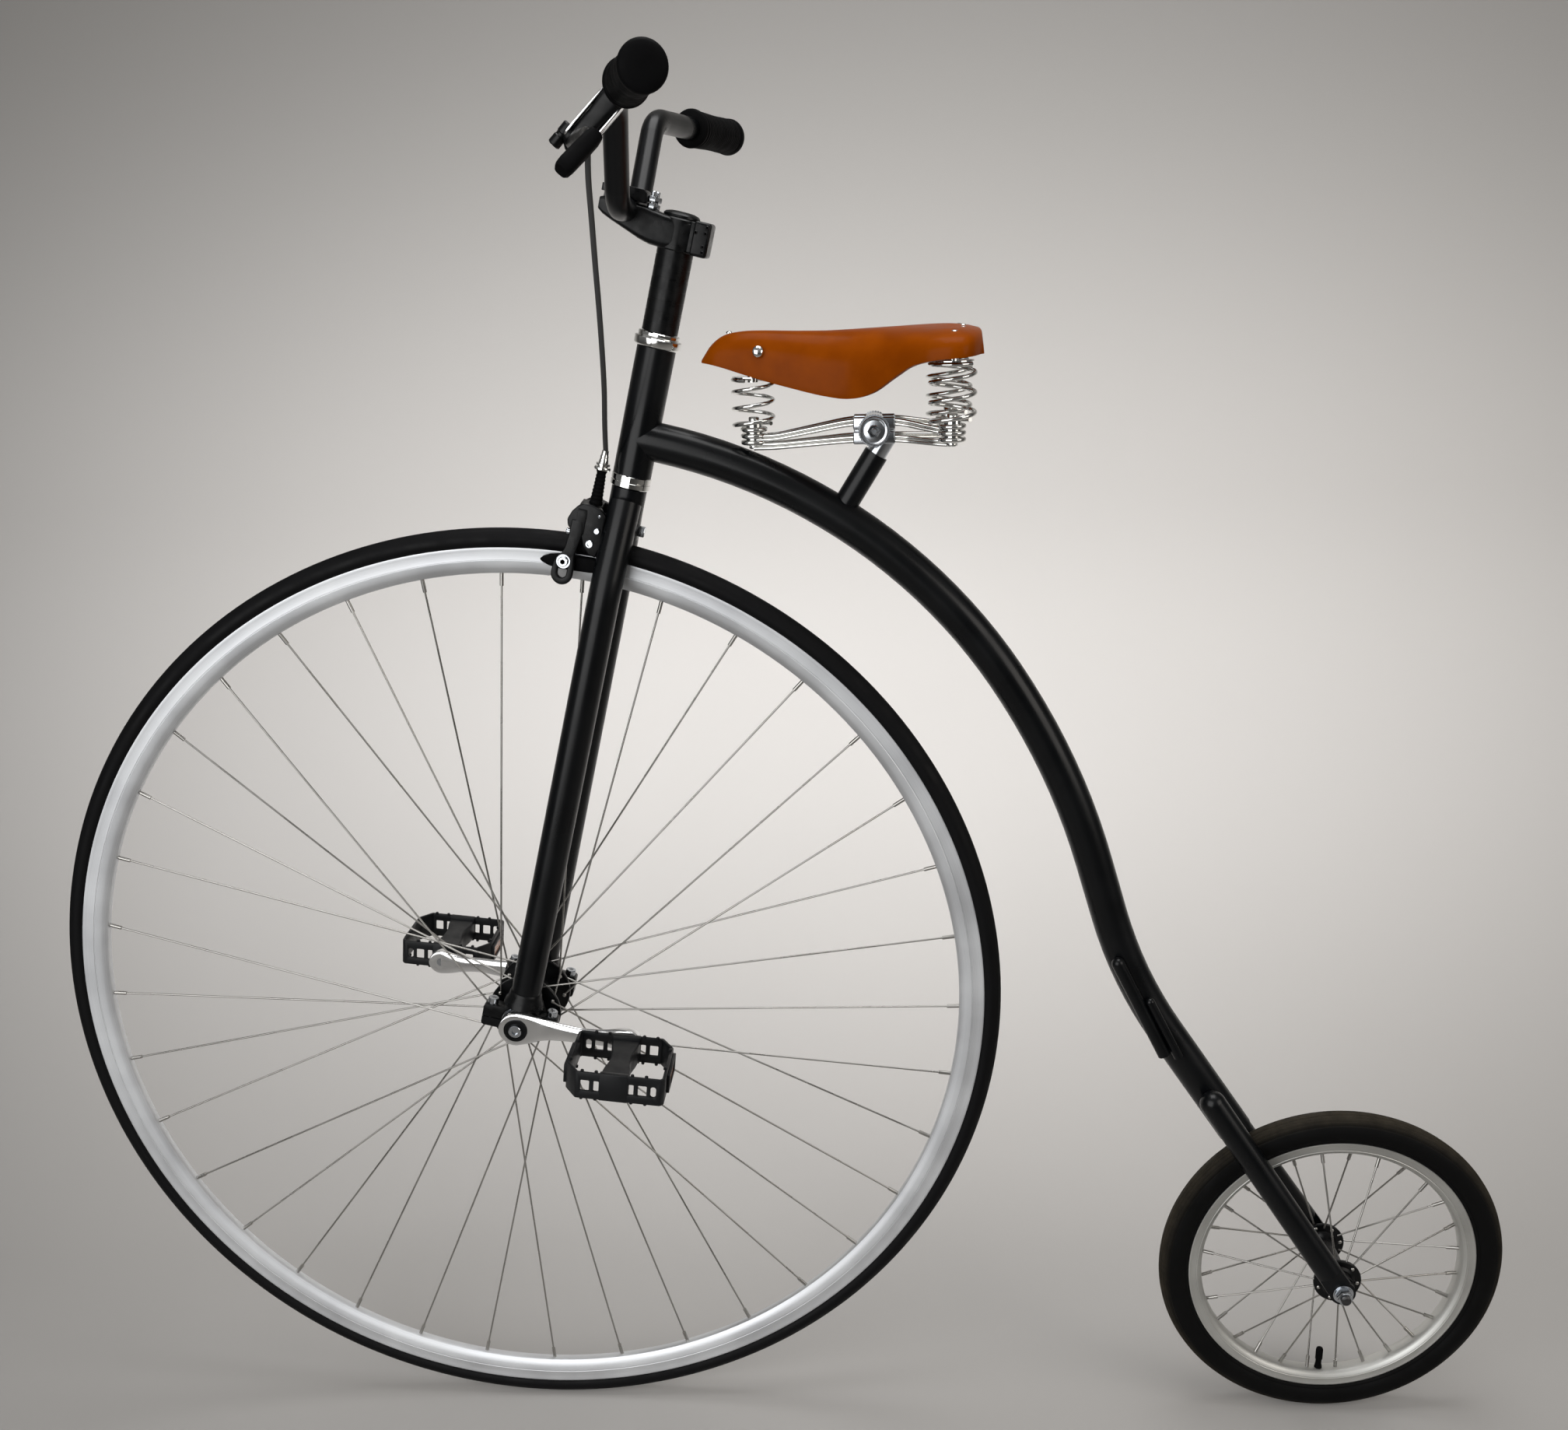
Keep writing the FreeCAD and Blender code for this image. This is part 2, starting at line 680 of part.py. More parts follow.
def rear_leg(side, along):
    """A round leg with a domed top, flattened to the dropout's thickness round the axle."""
    radius = leg_diameter / 2
    high = rear_axle.sub(V(along).multiply(leg_top_to_axle)).add(V(0, side * leg_top_spread / 2, 0))
    low = rear_axle.sub(V(along).multiply(radius / 2)).add(V(0, side * leg_foot_spread / 2, 0))
    middle = side * leg_foot_spread / 2
    half = dropout_thickness / 2
    dropout = cross_rod(rear_axle, middle - half, middle + half, radius)
    leg = joined([rod(high, low, radius), Part.makeSphere(radius, high), dropout])
    slope = -math.degrees(math.atan2(along.z, along.x))
    for edge in (-1, 1):
        face = middle + edge * half
        beyond = face + edge * leg_diameter
        shave = box(V(-leg_diameter, min(face, beyond), -leg_diameter),
                    V(leg_diameter, max(face, beyond), leg_diameter))
        shave.rotate(V(0, 0, 0), V(0, 1, 0), slope)
        shave.translate(rear_axle)
        leg = leg.cut(shave)
    return leg.cut(cross_rod(rear_axle, -leg_foot_spread, leg_foot_spread, rear_axle_diameter / 2))


def frame():
    tube, rings = head()
    path, along = backbone_line()[:2]
    core = rod(head_line(head_bottom - trim), head_line(head_top + trim), head_tube_diameter / 2)
    main = tube_on(path, backbone_diameter / 2).cut(steered(core))
    legs = [rear_leg(side, along).cut(main) for side in (-1, 1)]
    foot, top = seat_places()[:2]
    post = rod(foot, top, seat_post_diameter / 2).cut(main)
    return {"backbone": main, "head_tube": tube, "headset_rings": rings, "seat_post": post,
            "rear_legs": Part.makeCompound(legs), "rear_axle": axle_with_nuts(),
            "mounting_steps": steps(main, path)}


def axle_with_nuts():
    half = rear_axle_length / 2
    shapes = [cross_rod(rear_axle, -half, half, rear_axle_diameter / 2)]
    face = (leg_foot_spread + dropout_thickness) / 2
    washer_end = face + washer_thickness
    reach = nut_size / math.sqrt(3)
    for side in (-1, 1):
        shapes.append(cross_rod(rear_axle, side * face, side * washer_end, washer_radius))
        corners = []
        for corner in range(6):
            angle = math.radians(FULL_TURN / 6 * corner)
            spot = V(reach * math.cos(angle), side * washer_end, reach * math.sin(angle))
            corners.append(rear_axle.add(spot))
        hexagon = Part.Face(Part.makePolygon(corners + corners[:1]))
        shapes.append(hexagon.extrude(V(0, side * nut_height, 0)))
    return joined(shapes)


def beside_backbone(path, distance, ahead, across):
    """A spot by its distance along the backbone from its foot, then off the centre line."""
    for edge in reversed(path.OrderedEdges):
        if distance < edge.Length:
            break
        distance -= edge.Length
    where = edge.getParameterByLength(edge.Length - distance)
    along = edge.tangentAt(where)
    return edge.valueAt(where).add(V(along.z, 0, -along.x).multiply(ahead)).add(V(0, across, 0))


def steps(main, path):
    """Two mounting steps welded on the left of the backbone, above the rear wheel."""
    bars = []
    for top, foot, top_ahead, foot_ahead, radius in step_bars:
        high = beside_backbone(path, top, top_ahead, -step_across)
        low = beside_backbone(path, foot, foot_ahead, -step_across)
        bars += [rod(high, low, radius), Part.makeSphere(radius, high)]
    return joined(bars).cut(main)


def saddle(top, nose):
    """The leather as an arched shell, lofted through its cross-sections from nose to tail."""
    outlines = []
    for share, crown_drop, skirt_drop, half, round_share in saddle_sections:
        x = nose + saddle_length * share
        crown = top - crown_drop
        low = top - skirt_drop
        deep = crown - low
        fall = deep * round_share
        shoulder = crown - (fall - half * saddle_rise_at_wings) / 2
        outer = [(half, low), (half, crown - fall), (half * saddle_shoulder_share, shoulder),
                 (half * saddle_crown_share, crown - fall * saddle_crown_roundness)]
        outer += [(0.0, crown)] + [(-y, z) for y, z in reversed(outer)]
        inner_half = max(half - leather_thickness, half * saddle_least_share)
        thin = min(leather_thickness, deep / 2)
        inner = [(y / half * inner_half, max(z - thin, low)) for y, z in reversed(outer)]
        corners = [V(x, y, z) for y, z in outer + inner]
        outlines.append(Part.makePolygon(corners + corners[:1]))
    return Part.makeLoft(outlines, True, True)


def coil(x, y, low, height, turns):
    """A spring wound from half turns, each a tilted arc, with the wire's ends left square."""
    step = (height - coil_wire) / (2 * turns)
    arcs = []
    for half_turn in range(2 * turns):
        level = low + coil_wire / 2 + step * half_turn
        side = 1 if half_turn % 2 == 0 else -1
        start = V(x - side * coil_radius, y, level)
        end = V(x + side * coil_radius, y, level + step)
        reach = start.sub(end).Length / 2
        middle = V(x, y - side * reach, level + step / 2)
        arcs.append(Part.Arc(start, middle, end).toShape())
    return tube_on(Part.Wire(arcs), coil_wire / 2)


def saddle_set():
    clamp = seat_places()[3]
    top = clamp.z + saddle_height
    leather = saddle(top, clamp.x - saddle_nose_ahead)
    front_x = clamp.x - front_coil_ahead
    rear_x = clamp.x + rear_coil_behind
    front_low = clamp.z + front_coil_foot
    rear_low = clamp.z + rear_coil_foot
    coils = [coil(front_x, 0.0, front_low, front_coil_height, front_coil_turns)]
    for side in (-1, 1):
        coils.append(coil(rear_x, side * rear_coil_spread / 2, rear_low, rear_coil_height, rear_coil_turns))
    plates = saddle_plates(leather, top, front_x, rear_x, front_low + front_coil_height,
                           rear_low + rear_coil_height)
    rails = saddle_rails(clamp, front_x, rear_x, front_low, rear_low)
    post_top, pin_top = seat_places()[1:3]
    shapes = [rod(post_top, pin_top, seat_pin_diameter / 2)]
    for half, radius in ((clamp_half_width, clamp_disc_radius), (clamp_bolt_half_width, clamp_bolt_radius)):
        shapes.append(rod(V(clamp.x, -half, clamp.z), V(clamp.x, half, clamp.z), radius))
    return {"saddle_leather": leather, "saddle_springs": Part.makeCompound(coils), "saddle_frame": plates,
            "saddle_rails": rails, "saddle_clamp": joined(shapes).cut(rails)}


def saddle_plates(leather, top, front_x, rear_x, front_coil_top, rear_coil_top):
    """The metal frame under the leather: nose plate, ridge bar, tail plate and the coils' posts."""
    low = top - plate_below_top
    high = low + plate_thickness
    ridge = low + plate_thickness / 2
    shapes = [rod(V(front_x, 0, ridge), V(rear_x, 0, ridge), plate_thickness / 2 + trim)]
    for x, half in ((front_x, nose_plate_half_width), (rear_x, tail_plate_half_width)):
        shapes.append(box(V(x - plate_half_length, -half, low), V(x + plate_half_length, half, high)))
    posts = [(front_x, 0.0, front_coil_top)]
    posts += [(rear_x, side * rear_coil_spread / 2, rear_coil_top) for side in (-1, 1)]
    for x, y, coil_top in posts:
        rivet_top = V(x, y, top - leather_thickness / 2)
        shapes.append(rod(V(x, y, coil_top - coil_wire), rivet_top, plate_thickness))
        shapes.append(rod(V(x, y, coil_top), V(x, y, coil_top + trim), coil_radius + coil_wire / 2))
    return joined(shapes).cut(leather)


def saddle_rails(clamp, front_x, rear_x, front_low, rear_low):
    """Two wires on each side, one above the other, from the front spring's seat to the rear ones'."""
    radius = rail_diameter / 2
    seats = [(front_x, 0.0, front_low), (rear_x, -rear_coil_spread / 2, rear_low),
             (rear_x, rear_coil_spread / 2, rear_low)]
    shapes = []
    for x, y, level in seats:
        foot = V(x, y, level)
        shapes.append(rod(V(x, y, level - coil_seat_depth), V(x, y, level + coil_wire), coil_seat_radius))
        shapes.append(rod(V(x, y, level - radius), foot, coil_radius + coil_wire / 2))
    above = (clamp_disc_radius - radius) * rail_grip_share
    # columns: above the clamp's middle, drop below the front and the rear spring's foot
    wires = [(above, radius, radius), (-above, lower_rail_front_drop, lower_rail_rear_drop)]
    for side in (-1, 1):
        for rise, front_drop, rear_drop in wires:
            front = V(front_x, side * coil_seat_radius / 2, front_low - front_drop - radius)
            grip = V(clamp.x - rail_half_flat, side * rail_half_spread, clamp.z + rise)
            grip_end = V(clamp.x + rail_half_flat, side * rail_half_spread, clamp.z + rise)
            rear = V(rear_x, side * rear_coil_spread / 2, rear_low - rear_drop - radius)
            shapes += [rod(front, grip, radius), rod(grip, grip_end, radius), rod(grip_end, rear, radius)]
            shapes += [Part.makeSphere(radius, spot) for spot in (grip, grip_end)]
    return joined(shapes)


def blade(side):
    top_height = crown_bottom + blade_top_above_crown
    points = [V(0, side * blade_foot_spread / 2, bearing_housing_radius),
              V(0, side * blade_shoulder_spread / 2, crown_bottom - blade_shoulder_below_crown),
              V(0, side * blade_top_spread / 2, top_height)]
    tube = tube_on(bent_path(points, [blade_bend_radius]), blade_diameter / 2)
    below = head_line(crown_bottom - 2 * blade_diameter)
    return tube.cut(rod(below, head_line(head_bottom), crown_diameter / 2)).Solids[0]


def fork():
    crown_top = crown_bottom + crown_length - head_gap
    crown = rod(head_line(crown_bottom), head_line(crown_top), crown_diameter / 2)
    steerer = rod(head_line(crown_top), head_line(stem_bottom + stem_height), steerer_diameter / 2)
    hole = ahead_rod(pivot_height, crown_diameter, -crown_diameter, pivot_diameter / 2)
    blades = [blade(side) for side in (-1, 1)]
    pieces = {"fork_steerer": joined([crown, steerer]).cut(hole), "fork_blades": Part.makeCompound(blades)}
    pieces.update(bearing_set(blades))
    return pieces


def bearing_set(blades):
    """A split block at the foot of each blade, its ring and its two bolts."""
    ear = bearing_block_length / 2
    uppers = []
    caps = []
    rings = []
    bolts = []
    for side, tube in zip((-1, 1), blades):
        centre = side * bearing_spread / 2
        near = centre - bearing_block_width / 2
        far = centre + bearing_block_width / 2
        housing = rod(V(0, near, 0), V(0, far, 0), bearing_housing_radius)
        ring = rod(V(0, near, 0), V(0, far, 0), bearing_radius)
        above = box(V(-ear, near, bearing_split / 2), V(ear, far, bearing_housing_radius + trim))
        below = box(V(-ear, near, -bearing_housing_radius - trim), V(ear, far, -bearing_split / 2))
        upper = joined([box(V(-ear, near, 0), V(ear, far, bearing_block_top)), housing]).common(above)
        cap = joined([box(V(-ear, near, -bearing_block_low), V(ear, far, 0)), housing]).common(below)
        blade_y = side * blade_foot_spread / 2
        collar_low = bearing_housing_radius - trim
        collar = rod(V(0, blade_y, collar_low), V(0, blade_y, collar_low + blade_collar_height),
                     blade_diameter / 2 + blade_collar_wall)
        upper = joined([upper, collar])
        for end in (-1, 1):
            x = end * (ear - bearing_bolt_inset)
            seat = V(x, centre, bearing_block_top)
            shank = rod(V(x, centre, -bearing_block_low), seat, bearing_bolt_diameter / 2)
            head_top_spot = seat.add(V(0, 0, bearing_bolt_head_height))
            bolt = joined([shank, rod(seat, head_top_spot, bearing_bolt_head / 2)])
            upper = upper.cut(bolt)
            cap = cap.cut(bolt)
            bolts.append(bolt)
        uppers.append(upper.cut(ring).cut(tube))
        caps.append(cap.cut(ring))
        inside = rod(V(0, near, 0), V(0, far, 0), axle_diameter / 2 + bearing_clearance)
        rings.append(ring.cut(inside))
    return {"bearing_blocks": Part.makeCompound(uppers), "bearing_caps": Part.makeCompound(caps),
            "bearings": Part.makeCompound(rings), "bearing_bolts": Part.makeCompound(bolts)}


def bar_points(side):
    return [V(-stem_reach, side * bar_clamp_half_width, bar_height),
            V(-bar_top_forward, side * bar_top_half_width, bar_height + bar_rise),
            V(-bar_end_forward, side * bar_end_half_width, bar_height + bar_rise + bar_end_rise)]


def bar_direction(side):
    points = bar_points(side)
    return points[2].sub(points[1]).normalize()


def grip_start(side):
    """Where the grip's inner flange begins on the bar."""
    return bar_points(side)[2].add(bar_direction(side).multiply(grip_overhang - grip_length))


def handlebar():
    left = bar_points(-1)
    right = bar_points(1)
    points = [left[2], left[1], left[0], right[0], right[1], right[2]]
    bar = tube_on(bent_path(points, [bar_bend_radius] * 4), bar_diameter / 2)
    grips = []
    for side in (-1, 1):
        along = bar_direction(side)
        start = grip_start(side)
        tip = start.add(V(along).multiply(grip_length))
        flange_end = start.add(V(along).multiply(grip_flange_width))
        cap_start = tip.sub(V(along).multiply(grip_flange_width))
        shapes = [rod(start, tip, grip_diameter / 2), rod(start, flange_end, grip_flange_diameter / 2)]
        shapes.append(rod(cap_start, tip, grip_end_diameter / 2))
        grips.append(joined(shapes).cut(bar))
    return {"handlebar": bar, "grips": Part.makeCompound(grips)}


def spacers():
    stack = sleeve(head_line(stack_bottom + head_gap), head_line(stem_bottom), spacer_diameter / 2,
                   steerer_diameter / 2)
    for index in range(spacer_count):
        joint = stem_bottom - spacer_height * (index + 0.5)
        groove = sleeve(head_line(joint - spacer_groove / 2), head_line(joint + spacer_groove / 2),
                        spacer_diameter, spacer_diameter / 2 - spacer_groove)
        stack = stack.cut(groove)
    return stack


def stem_set(bar):
    top = stem_bottom + stem_height
    half = stem_width / 2
    collar = rod(head_line(stem_bottom), head_line(top), stem_collar_radius)
    plate = box(V(stem_plate_near, -half, stem_bottom), V(stem_plate_far, half, top))
    outline = [V(0, -half, stem_bottom), V(-stem_flat, -half, stem_bottom),
               V(-stem_tip_reach, -half, stem_bottom + stem_tip_rise),
               V(-stem_tip_reach - trim, -half, bar_height), V(0, -half, top)]
    arm = Part.Face(Part.makePolygon(outline + outline[:1])).extrude(V(0, stem_width, 0))
    steerer = rod(head_line(stem_bottom - trim), head_line(top + trim), steerer_diameter / 2)
    pieces = {"spacer_stack": spacers()}
    pieces["stem"] = joined([collar, plate, arm]).cut(steerer).cut(bar)
    bar_middle = head_line(bar_height, stem_reach)
    cradle = cross_rod(bar_middle, -half, half, bar_clamp_radius)
    front = -stem_reach - bar_clamp_ear
    back = -stem_reach + bar_clamp_ear
    ears = box(V(front, -half, bar_height), V(back, half, bar_height + bar_clamp_ear_height))
    above = box(V(front, -half, bar_height + trim), V(back, half, bar_height + bar_clamp_radius + trim))
    lid = rod(head_line(top), head_line(top + stem_lid_height), stem_collar_radius)
    cap = joined([cradle, ears]).common(above).cut(bar).cut(pieces["stem"]).cut(lid)
    pieces["stem_cap"] = cap
    pieces["stem_lid"] = lid
    bolts = []
    low = bar_height + bar_clamp_ear_height
    for x in (front + stem_bolt_diameter, back - stem_bolt_diameter):
        for y in (stem_bolt_diameter - half, half - stem_bolt_diameter):
            bolts.append(rod(V(x, y, low), V(x, y, low + stem_bolt_diameter), stem_bolt_diameter / 2))
    pieces["stem_bolts"] = Part.makeCompound(bolts)
    return pieces


def lever_places():
    """The middle of the clamp on the bar, the lever's pivot, and the lever's tip."""
    along = bar_direction(-1)
    middle = grip_start(-1).sub(V(along).multiply(lever_clamp_width / 2 + trim))
    pivot = middle.add(V(-lever_forward, 0, -lever_drop))
    tip = pivot.add(V(lever_tip_inward, -lever_length, -lever_tip_drop))
    return middle, pivot, tip


def slab(start, end, normal, width, thickness):
    """A straight flat bar: its width lies across the run and across the normal."""
    run = end.sub(start).normalize()
    across = run.cross(normal).normalize()
    up = across.cross(run).normalize()
    corners = []
    for wide, high in ((-1, -1), (1, -1), (1, 1), (-1, 1)):
        sideways = V(across).multiply(wide * width / 2)
        corners.append(start.add(sideways).add(V(up).multiply(high * thickness / 2)))
    return Part.Face(Part.makePolygon(corners + corners[:1])).extrude(end.sub(start))


def brake_lever(bar):
    middle, pivot, tip = lever_places()
    along = bar_direction(-1)
    clamp_half = V(along).multiply(lever_clamp_width / 2)
    ring = rod(middle.sub(clamp_half), middle.add(clamp_half), bar_diameter / 2 + lever_clamp_wall)
    down = pivot.sub(middle).normalize()
    side_way = down.cross(V(0, 1, 0)).normalize()
    body_end = pivot.add(V(down).multiply(lever_body_depth / 2))
    body = slab(middle, body_end, V(0, 1, 0), lever_body_depth, lever_body_width)
    bracket = joined([ring, body]).cut(bar)
    root = pivot.add(V(0, -lever_body_width / 2 - trim, 0))
    blade_end = tip.add(root.sub(tip).normalize().multiply(lever_tip_block))
    blade_bar = slab(root, blade_end, down, lever_blade_width, lever_blade_thickness)
    cheeks = []
    for edge in (-1, 1):
        offset = V(side_way).multiply(edge * (lever_body_depth + lever_cheek_thickness) / 2)
        high = middle.add(pivot).multiply(1 / 2).add(offset)
        cheeks.append(slab(high, body_end.add(offset), side_way, lever_body_width + 2 * lever_cheek_margin,
                           lever_cheek_thickness))
    lever = joined([blade_bar] + cheeks).cut(bracket)
    block = slab(blade_end, tip, down, lever_blade_width + 2 * trim, lever_blade_width)
    return {"brake_lever_bracket": bracket, "brake_lever": lever, "brake_lever_tip": block.cut(lever)}


def cable_ends():
    """The cable's start under the lever's body, and its end on the caliper's adjuster."""
    middle = lever_places()[0]
    start = V(middle.x - cable_start_ahead, middle.y + cable_start_inward, middle.z - cable_start_below)
    end_height = boot_foot_height + boot_length + adjuster_height + ferrule_length
    return start, head_line(end_height, boot_ahead, -boot_across)


def brake_cable():
    """The housing, from the lever's bracket round the head to the adjuster on the caliper."""
    start, end = cable_ends()
    way = end.sub(start)
    path = []
    for share, ahead, across in cable_bows:
        path.append(start.add(V(way).multiply(share)).add(V(-ahead, -across, 0)))
    radii = []
    for before, corner, after in zip(path, path[1:], path[2:]):
        back = before.sub(corner)
        onward = after.sub(corner)
        turn = math.pi - back.getAngle(onward)
        radii.append(cable_bend_share * min(back.Length, onward.Length) / math.tan(turn / 2))
    print("cable bend radii", [round(radius) for radius in radii])
    print("cable length", round(sum(after.sub(before).Length for before, after in zip(path, path[1:]))))
    housing = tube_on(bent_path(path, radii), cable_diameter / 2)
    down = V(0, 0, -1)
    ferrule_end = end.add(V(down).multiply(ferrule_length))
    disc_end = ferrule_end.add(V(down).multiply(adjuster_height))
    cone = Part.makeCone(cable_diameter / 2 + trim, ferrule_diameter / 2, ferrule_length, end, down)
    adjuster = joined([cone, rod(ferrule_end, disc_end, adjuster_diameter / 2)]).cut(housing)
    boot = Part.makeCone(boot_top_diameter / 2, boot_foot_diameter / 2, boot_length, disc_end, down)
    return {"brake_cable": housing, "cable_adjuster": adjuster, "cable_boot": boot}


def caliper_leg():
    """The right arm's flat leg: a plate beside the rim, with a slot at its round foot for the pad."""
    pad_height = pad_line()
    top = pivot_height + arm_bridge_low
    foot = pad_height - arm_slot_length / 2
    half = arm_leg_width / 2
    near = arm_leg_face
    far = near + arm_leg_thickness
    plate = joined([box(V(-arm_ahead - half, near, foot), V(-arm_ahead + half, far, top)),
                    cross_rod(head_line(foot, arm_ahead), near, far, half)])
    gap = arm_slot_width / 2
    ends = [cross_rod(head_line(height, arm_ahead), near - trim, far + trim, gap)
            for height in (foot, pad_height)]
    between = box(V(-arm_ahead - gap, near - trim, foot), V(-arm_ahead + gap, far + trim, pad_height))
    return plate.cut(joined([between] + ends))


def pad_line():
    """Height of the pads' middle up the steering axis, where they meet the rim's track."""
    radius = front_rim_edge_radius - pad_below_edge
    return math.sqrt(radius ** 2 - arm_ahead ** 2)


def brake_pad():
    """The right pad, in the wheel's own plane: a block with a pointed front, its stud and its nut."""
    half = pad_length / 2
    low = -pad_width / 2
    high = pad_width / 2
    corners = [(-half, 0.0), (-half + pad_point, low), (half, low), (half, high), (-half + pad_point, high)]
    points = [V(x, pad_inner_face, z) for x, z in corners]
    outline = Part.Face(Part.makePolygon(points + points[:1]))
    block = outline.extrude(V(0, pad_outer_face - pad_inner_face, 0))
    leg_far = arm_leg_face + arm_leg_thickness
    stud = cross_rod(V(0, 0, 0), pad_outer_face - trim, leg_far, (arm_slot_width - trim) / 2)
    nut = cross_rod(V(0, 0, 0), leg_far, leg_far + pad_bolt_length, pad_bolt_radius)
    lean = math.degrees(math.asin(arm_ahead / (front_rim_edge_radius - pad_below_edge)))
    placed = []
    for shape in (joined([block, stud]), nut):
        moved = shape.copy()
        moved.rotate(V(0, 0, 0), V(0, 1, 0), -lean)
        moved.translate(V(-arm_ahead, 0, pad_line()))
        placed.append(moved)
    return placed


def caliper():
    """Side-pull arms on one bolt through the crown, with a pad at each side of the rim."""
    back = crown_diameter / 2
    nut_end = -back - pivot_nut_length
    bolt = ahead_rod(pivot_height, pivot_front_reach, nut_end, pivot_diameter / 2)
    nut = ahead_rod(pivot_height, -back, nut_end, pivot_nut_radius)
    collar = ahead_rod(pivot_height, back - trim, arm_bridge_near, collar_radius)
    crown = rod(head_line(crown_bottom), head_line(head_bottom), back)
    spindle = joined([bolt, nut, collar.cut(crown)])
    leg = caliper_leg()
    pad, pad_nut = brake_pad()
    far = arm_leg_face + arm_leg_thickness
    inner = arm_leg_face - trim
    arms = []
    for order, side in enumerate((1, -1)):
        near_x = -arm_bridge_near - order * (arm_bridge_thickness + head_gap)
        far_x = near_x - arm_bridge_thickness
        corners = [(-arm_bridge_low, -arm_bridge_low), (inner, -arm_bridge_low), (inner, -arm_bridge_high),
                   (far, -arm_bridge_high), (far, arm_bridge_low), (arm_bridge_high, arm_bridge_high),
                   (-arm_bridge_low, arm_bridge_high)]
        points = [V(far_x, y, pivot_height + rise) for y, rise in corners]
        bridge = Part.Face(Part.makePolygon(points + points[:1])).extrude(V(near_x - far_x, 0, 0))
        reach = box(V(-arm_ahead, arm_leg_face, pivot_height - arm_bridge_low),
                    V(near_x, far, pivot_height + arm_bridge_low))
        arm = joined([bridge, leg, reach])
        if side < 0:
            arm = mirrored(arm)
        arms.append(arm.cut(spindle))
    pads = Part.makeCompound([pad, mirrored(pad)])
    nuts = [pad_nut, mirrored(pad_nut)]
    return {"caliper_arm_right": arms[0], "caliper_arm_left": arms[1].cut(arms[0]), "brake_pads": pads,
            "brake_bolts": Part.makeCompound([spindle] + nuts)}


def steering():
    pieces = {}
    pieces.update(fork())
    bars = handlebar()
    pieces.update(bars)
    pieces.update(stem_set(bars["handlebar"]))
    pieces.update(brake_lever(bars["handlebar"]))
    pieces.update(brake_cable())
    pieces.update(caliper())
    return {name: steered(shape) for name, shape in pieces.items()}


def build():
    pieces = {}
    pieces.update(frame())
    pieces.update(saddle_set())
    pieces.update(steering())
    pieces.update(front_wheel())
    pieces.update(rear_wheel())
    pieces.update(drive())
    return pieces


def main():
    os.makedirs("parts", exist_ok=True)
    origin = rider_place()
    print("origin from the floor under the front axle", [round(value, 3) for value in origin])
    for name, shape in build().items():
        placed = shape.copy()
        placed.translate(origin.negative())
        placed.exportStep("parts/" + name + ".step")
        print(name, placed.isValid(), len(placed.Solids), round(placed.Volume, 1))


main()
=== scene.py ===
# %% [markdown]
# # A penny farthing in the studio
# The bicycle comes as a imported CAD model: every solid is in metres, in its own place, and none of
# them is moved here. Each cell gives a surface its finish, or builds a piece in more detail than
# the plain solid has. The origin is the rider's place on the saddle, +X points to the rear, +Y to
# the rider's right and +Z up.

# %% Load the frame
import json
from math import asin, atan2, copysign, cos, degrees, hypot, pi, radians, sin, sqrt

import bmesh
import bpy
from bmesh import ops
from mathutils import Matrix, Vector


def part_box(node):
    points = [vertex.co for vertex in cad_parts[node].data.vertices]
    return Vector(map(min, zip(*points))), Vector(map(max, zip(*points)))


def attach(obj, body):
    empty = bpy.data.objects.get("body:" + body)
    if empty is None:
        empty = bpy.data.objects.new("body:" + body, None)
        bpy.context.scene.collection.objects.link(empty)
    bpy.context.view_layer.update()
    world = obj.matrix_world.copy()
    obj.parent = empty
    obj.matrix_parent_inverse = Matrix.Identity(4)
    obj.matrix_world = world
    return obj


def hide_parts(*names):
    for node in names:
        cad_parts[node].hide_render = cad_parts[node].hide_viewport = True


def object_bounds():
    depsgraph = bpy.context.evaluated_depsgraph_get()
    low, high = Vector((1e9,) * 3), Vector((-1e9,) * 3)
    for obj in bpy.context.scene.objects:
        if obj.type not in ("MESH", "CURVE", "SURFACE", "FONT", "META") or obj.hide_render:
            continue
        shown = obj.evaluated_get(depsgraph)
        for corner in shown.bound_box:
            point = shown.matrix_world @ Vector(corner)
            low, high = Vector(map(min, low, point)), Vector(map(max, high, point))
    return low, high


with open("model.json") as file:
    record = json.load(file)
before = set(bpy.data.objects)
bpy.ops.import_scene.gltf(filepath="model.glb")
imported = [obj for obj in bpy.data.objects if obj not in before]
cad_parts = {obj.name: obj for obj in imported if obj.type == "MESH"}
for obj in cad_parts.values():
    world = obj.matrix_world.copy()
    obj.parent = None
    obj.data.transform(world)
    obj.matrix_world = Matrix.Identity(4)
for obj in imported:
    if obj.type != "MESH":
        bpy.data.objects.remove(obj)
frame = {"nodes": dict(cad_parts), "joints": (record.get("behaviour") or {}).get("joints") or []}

cad_bounds = [list(corner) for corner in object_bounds()]
print("solids span", [[round(value, 3) for value in corner] for corner in cad_bounds])

# %% [markdown]
# ## Places to build from
# Nothing is placed by eye. The wheels' centres are the middles of their solids, and the steering
# axis is the one that the joint turns on. A matrix made from that axis lets the fork, the stem and
# the brake be drawn upright, in millimetres, and then leaned back into place in one step.

# %% Wheel centres and the leaning frame of the fork
MM = 0.001


def middle(node):
    """The middle of a solid's box."""
    low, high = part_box(node)
    return (low + high) / 2


def moved(x=0, y=0, z=0):
    """A matrix that shifts along the three axes."""
    return Matrix.Translation((x, y, z))


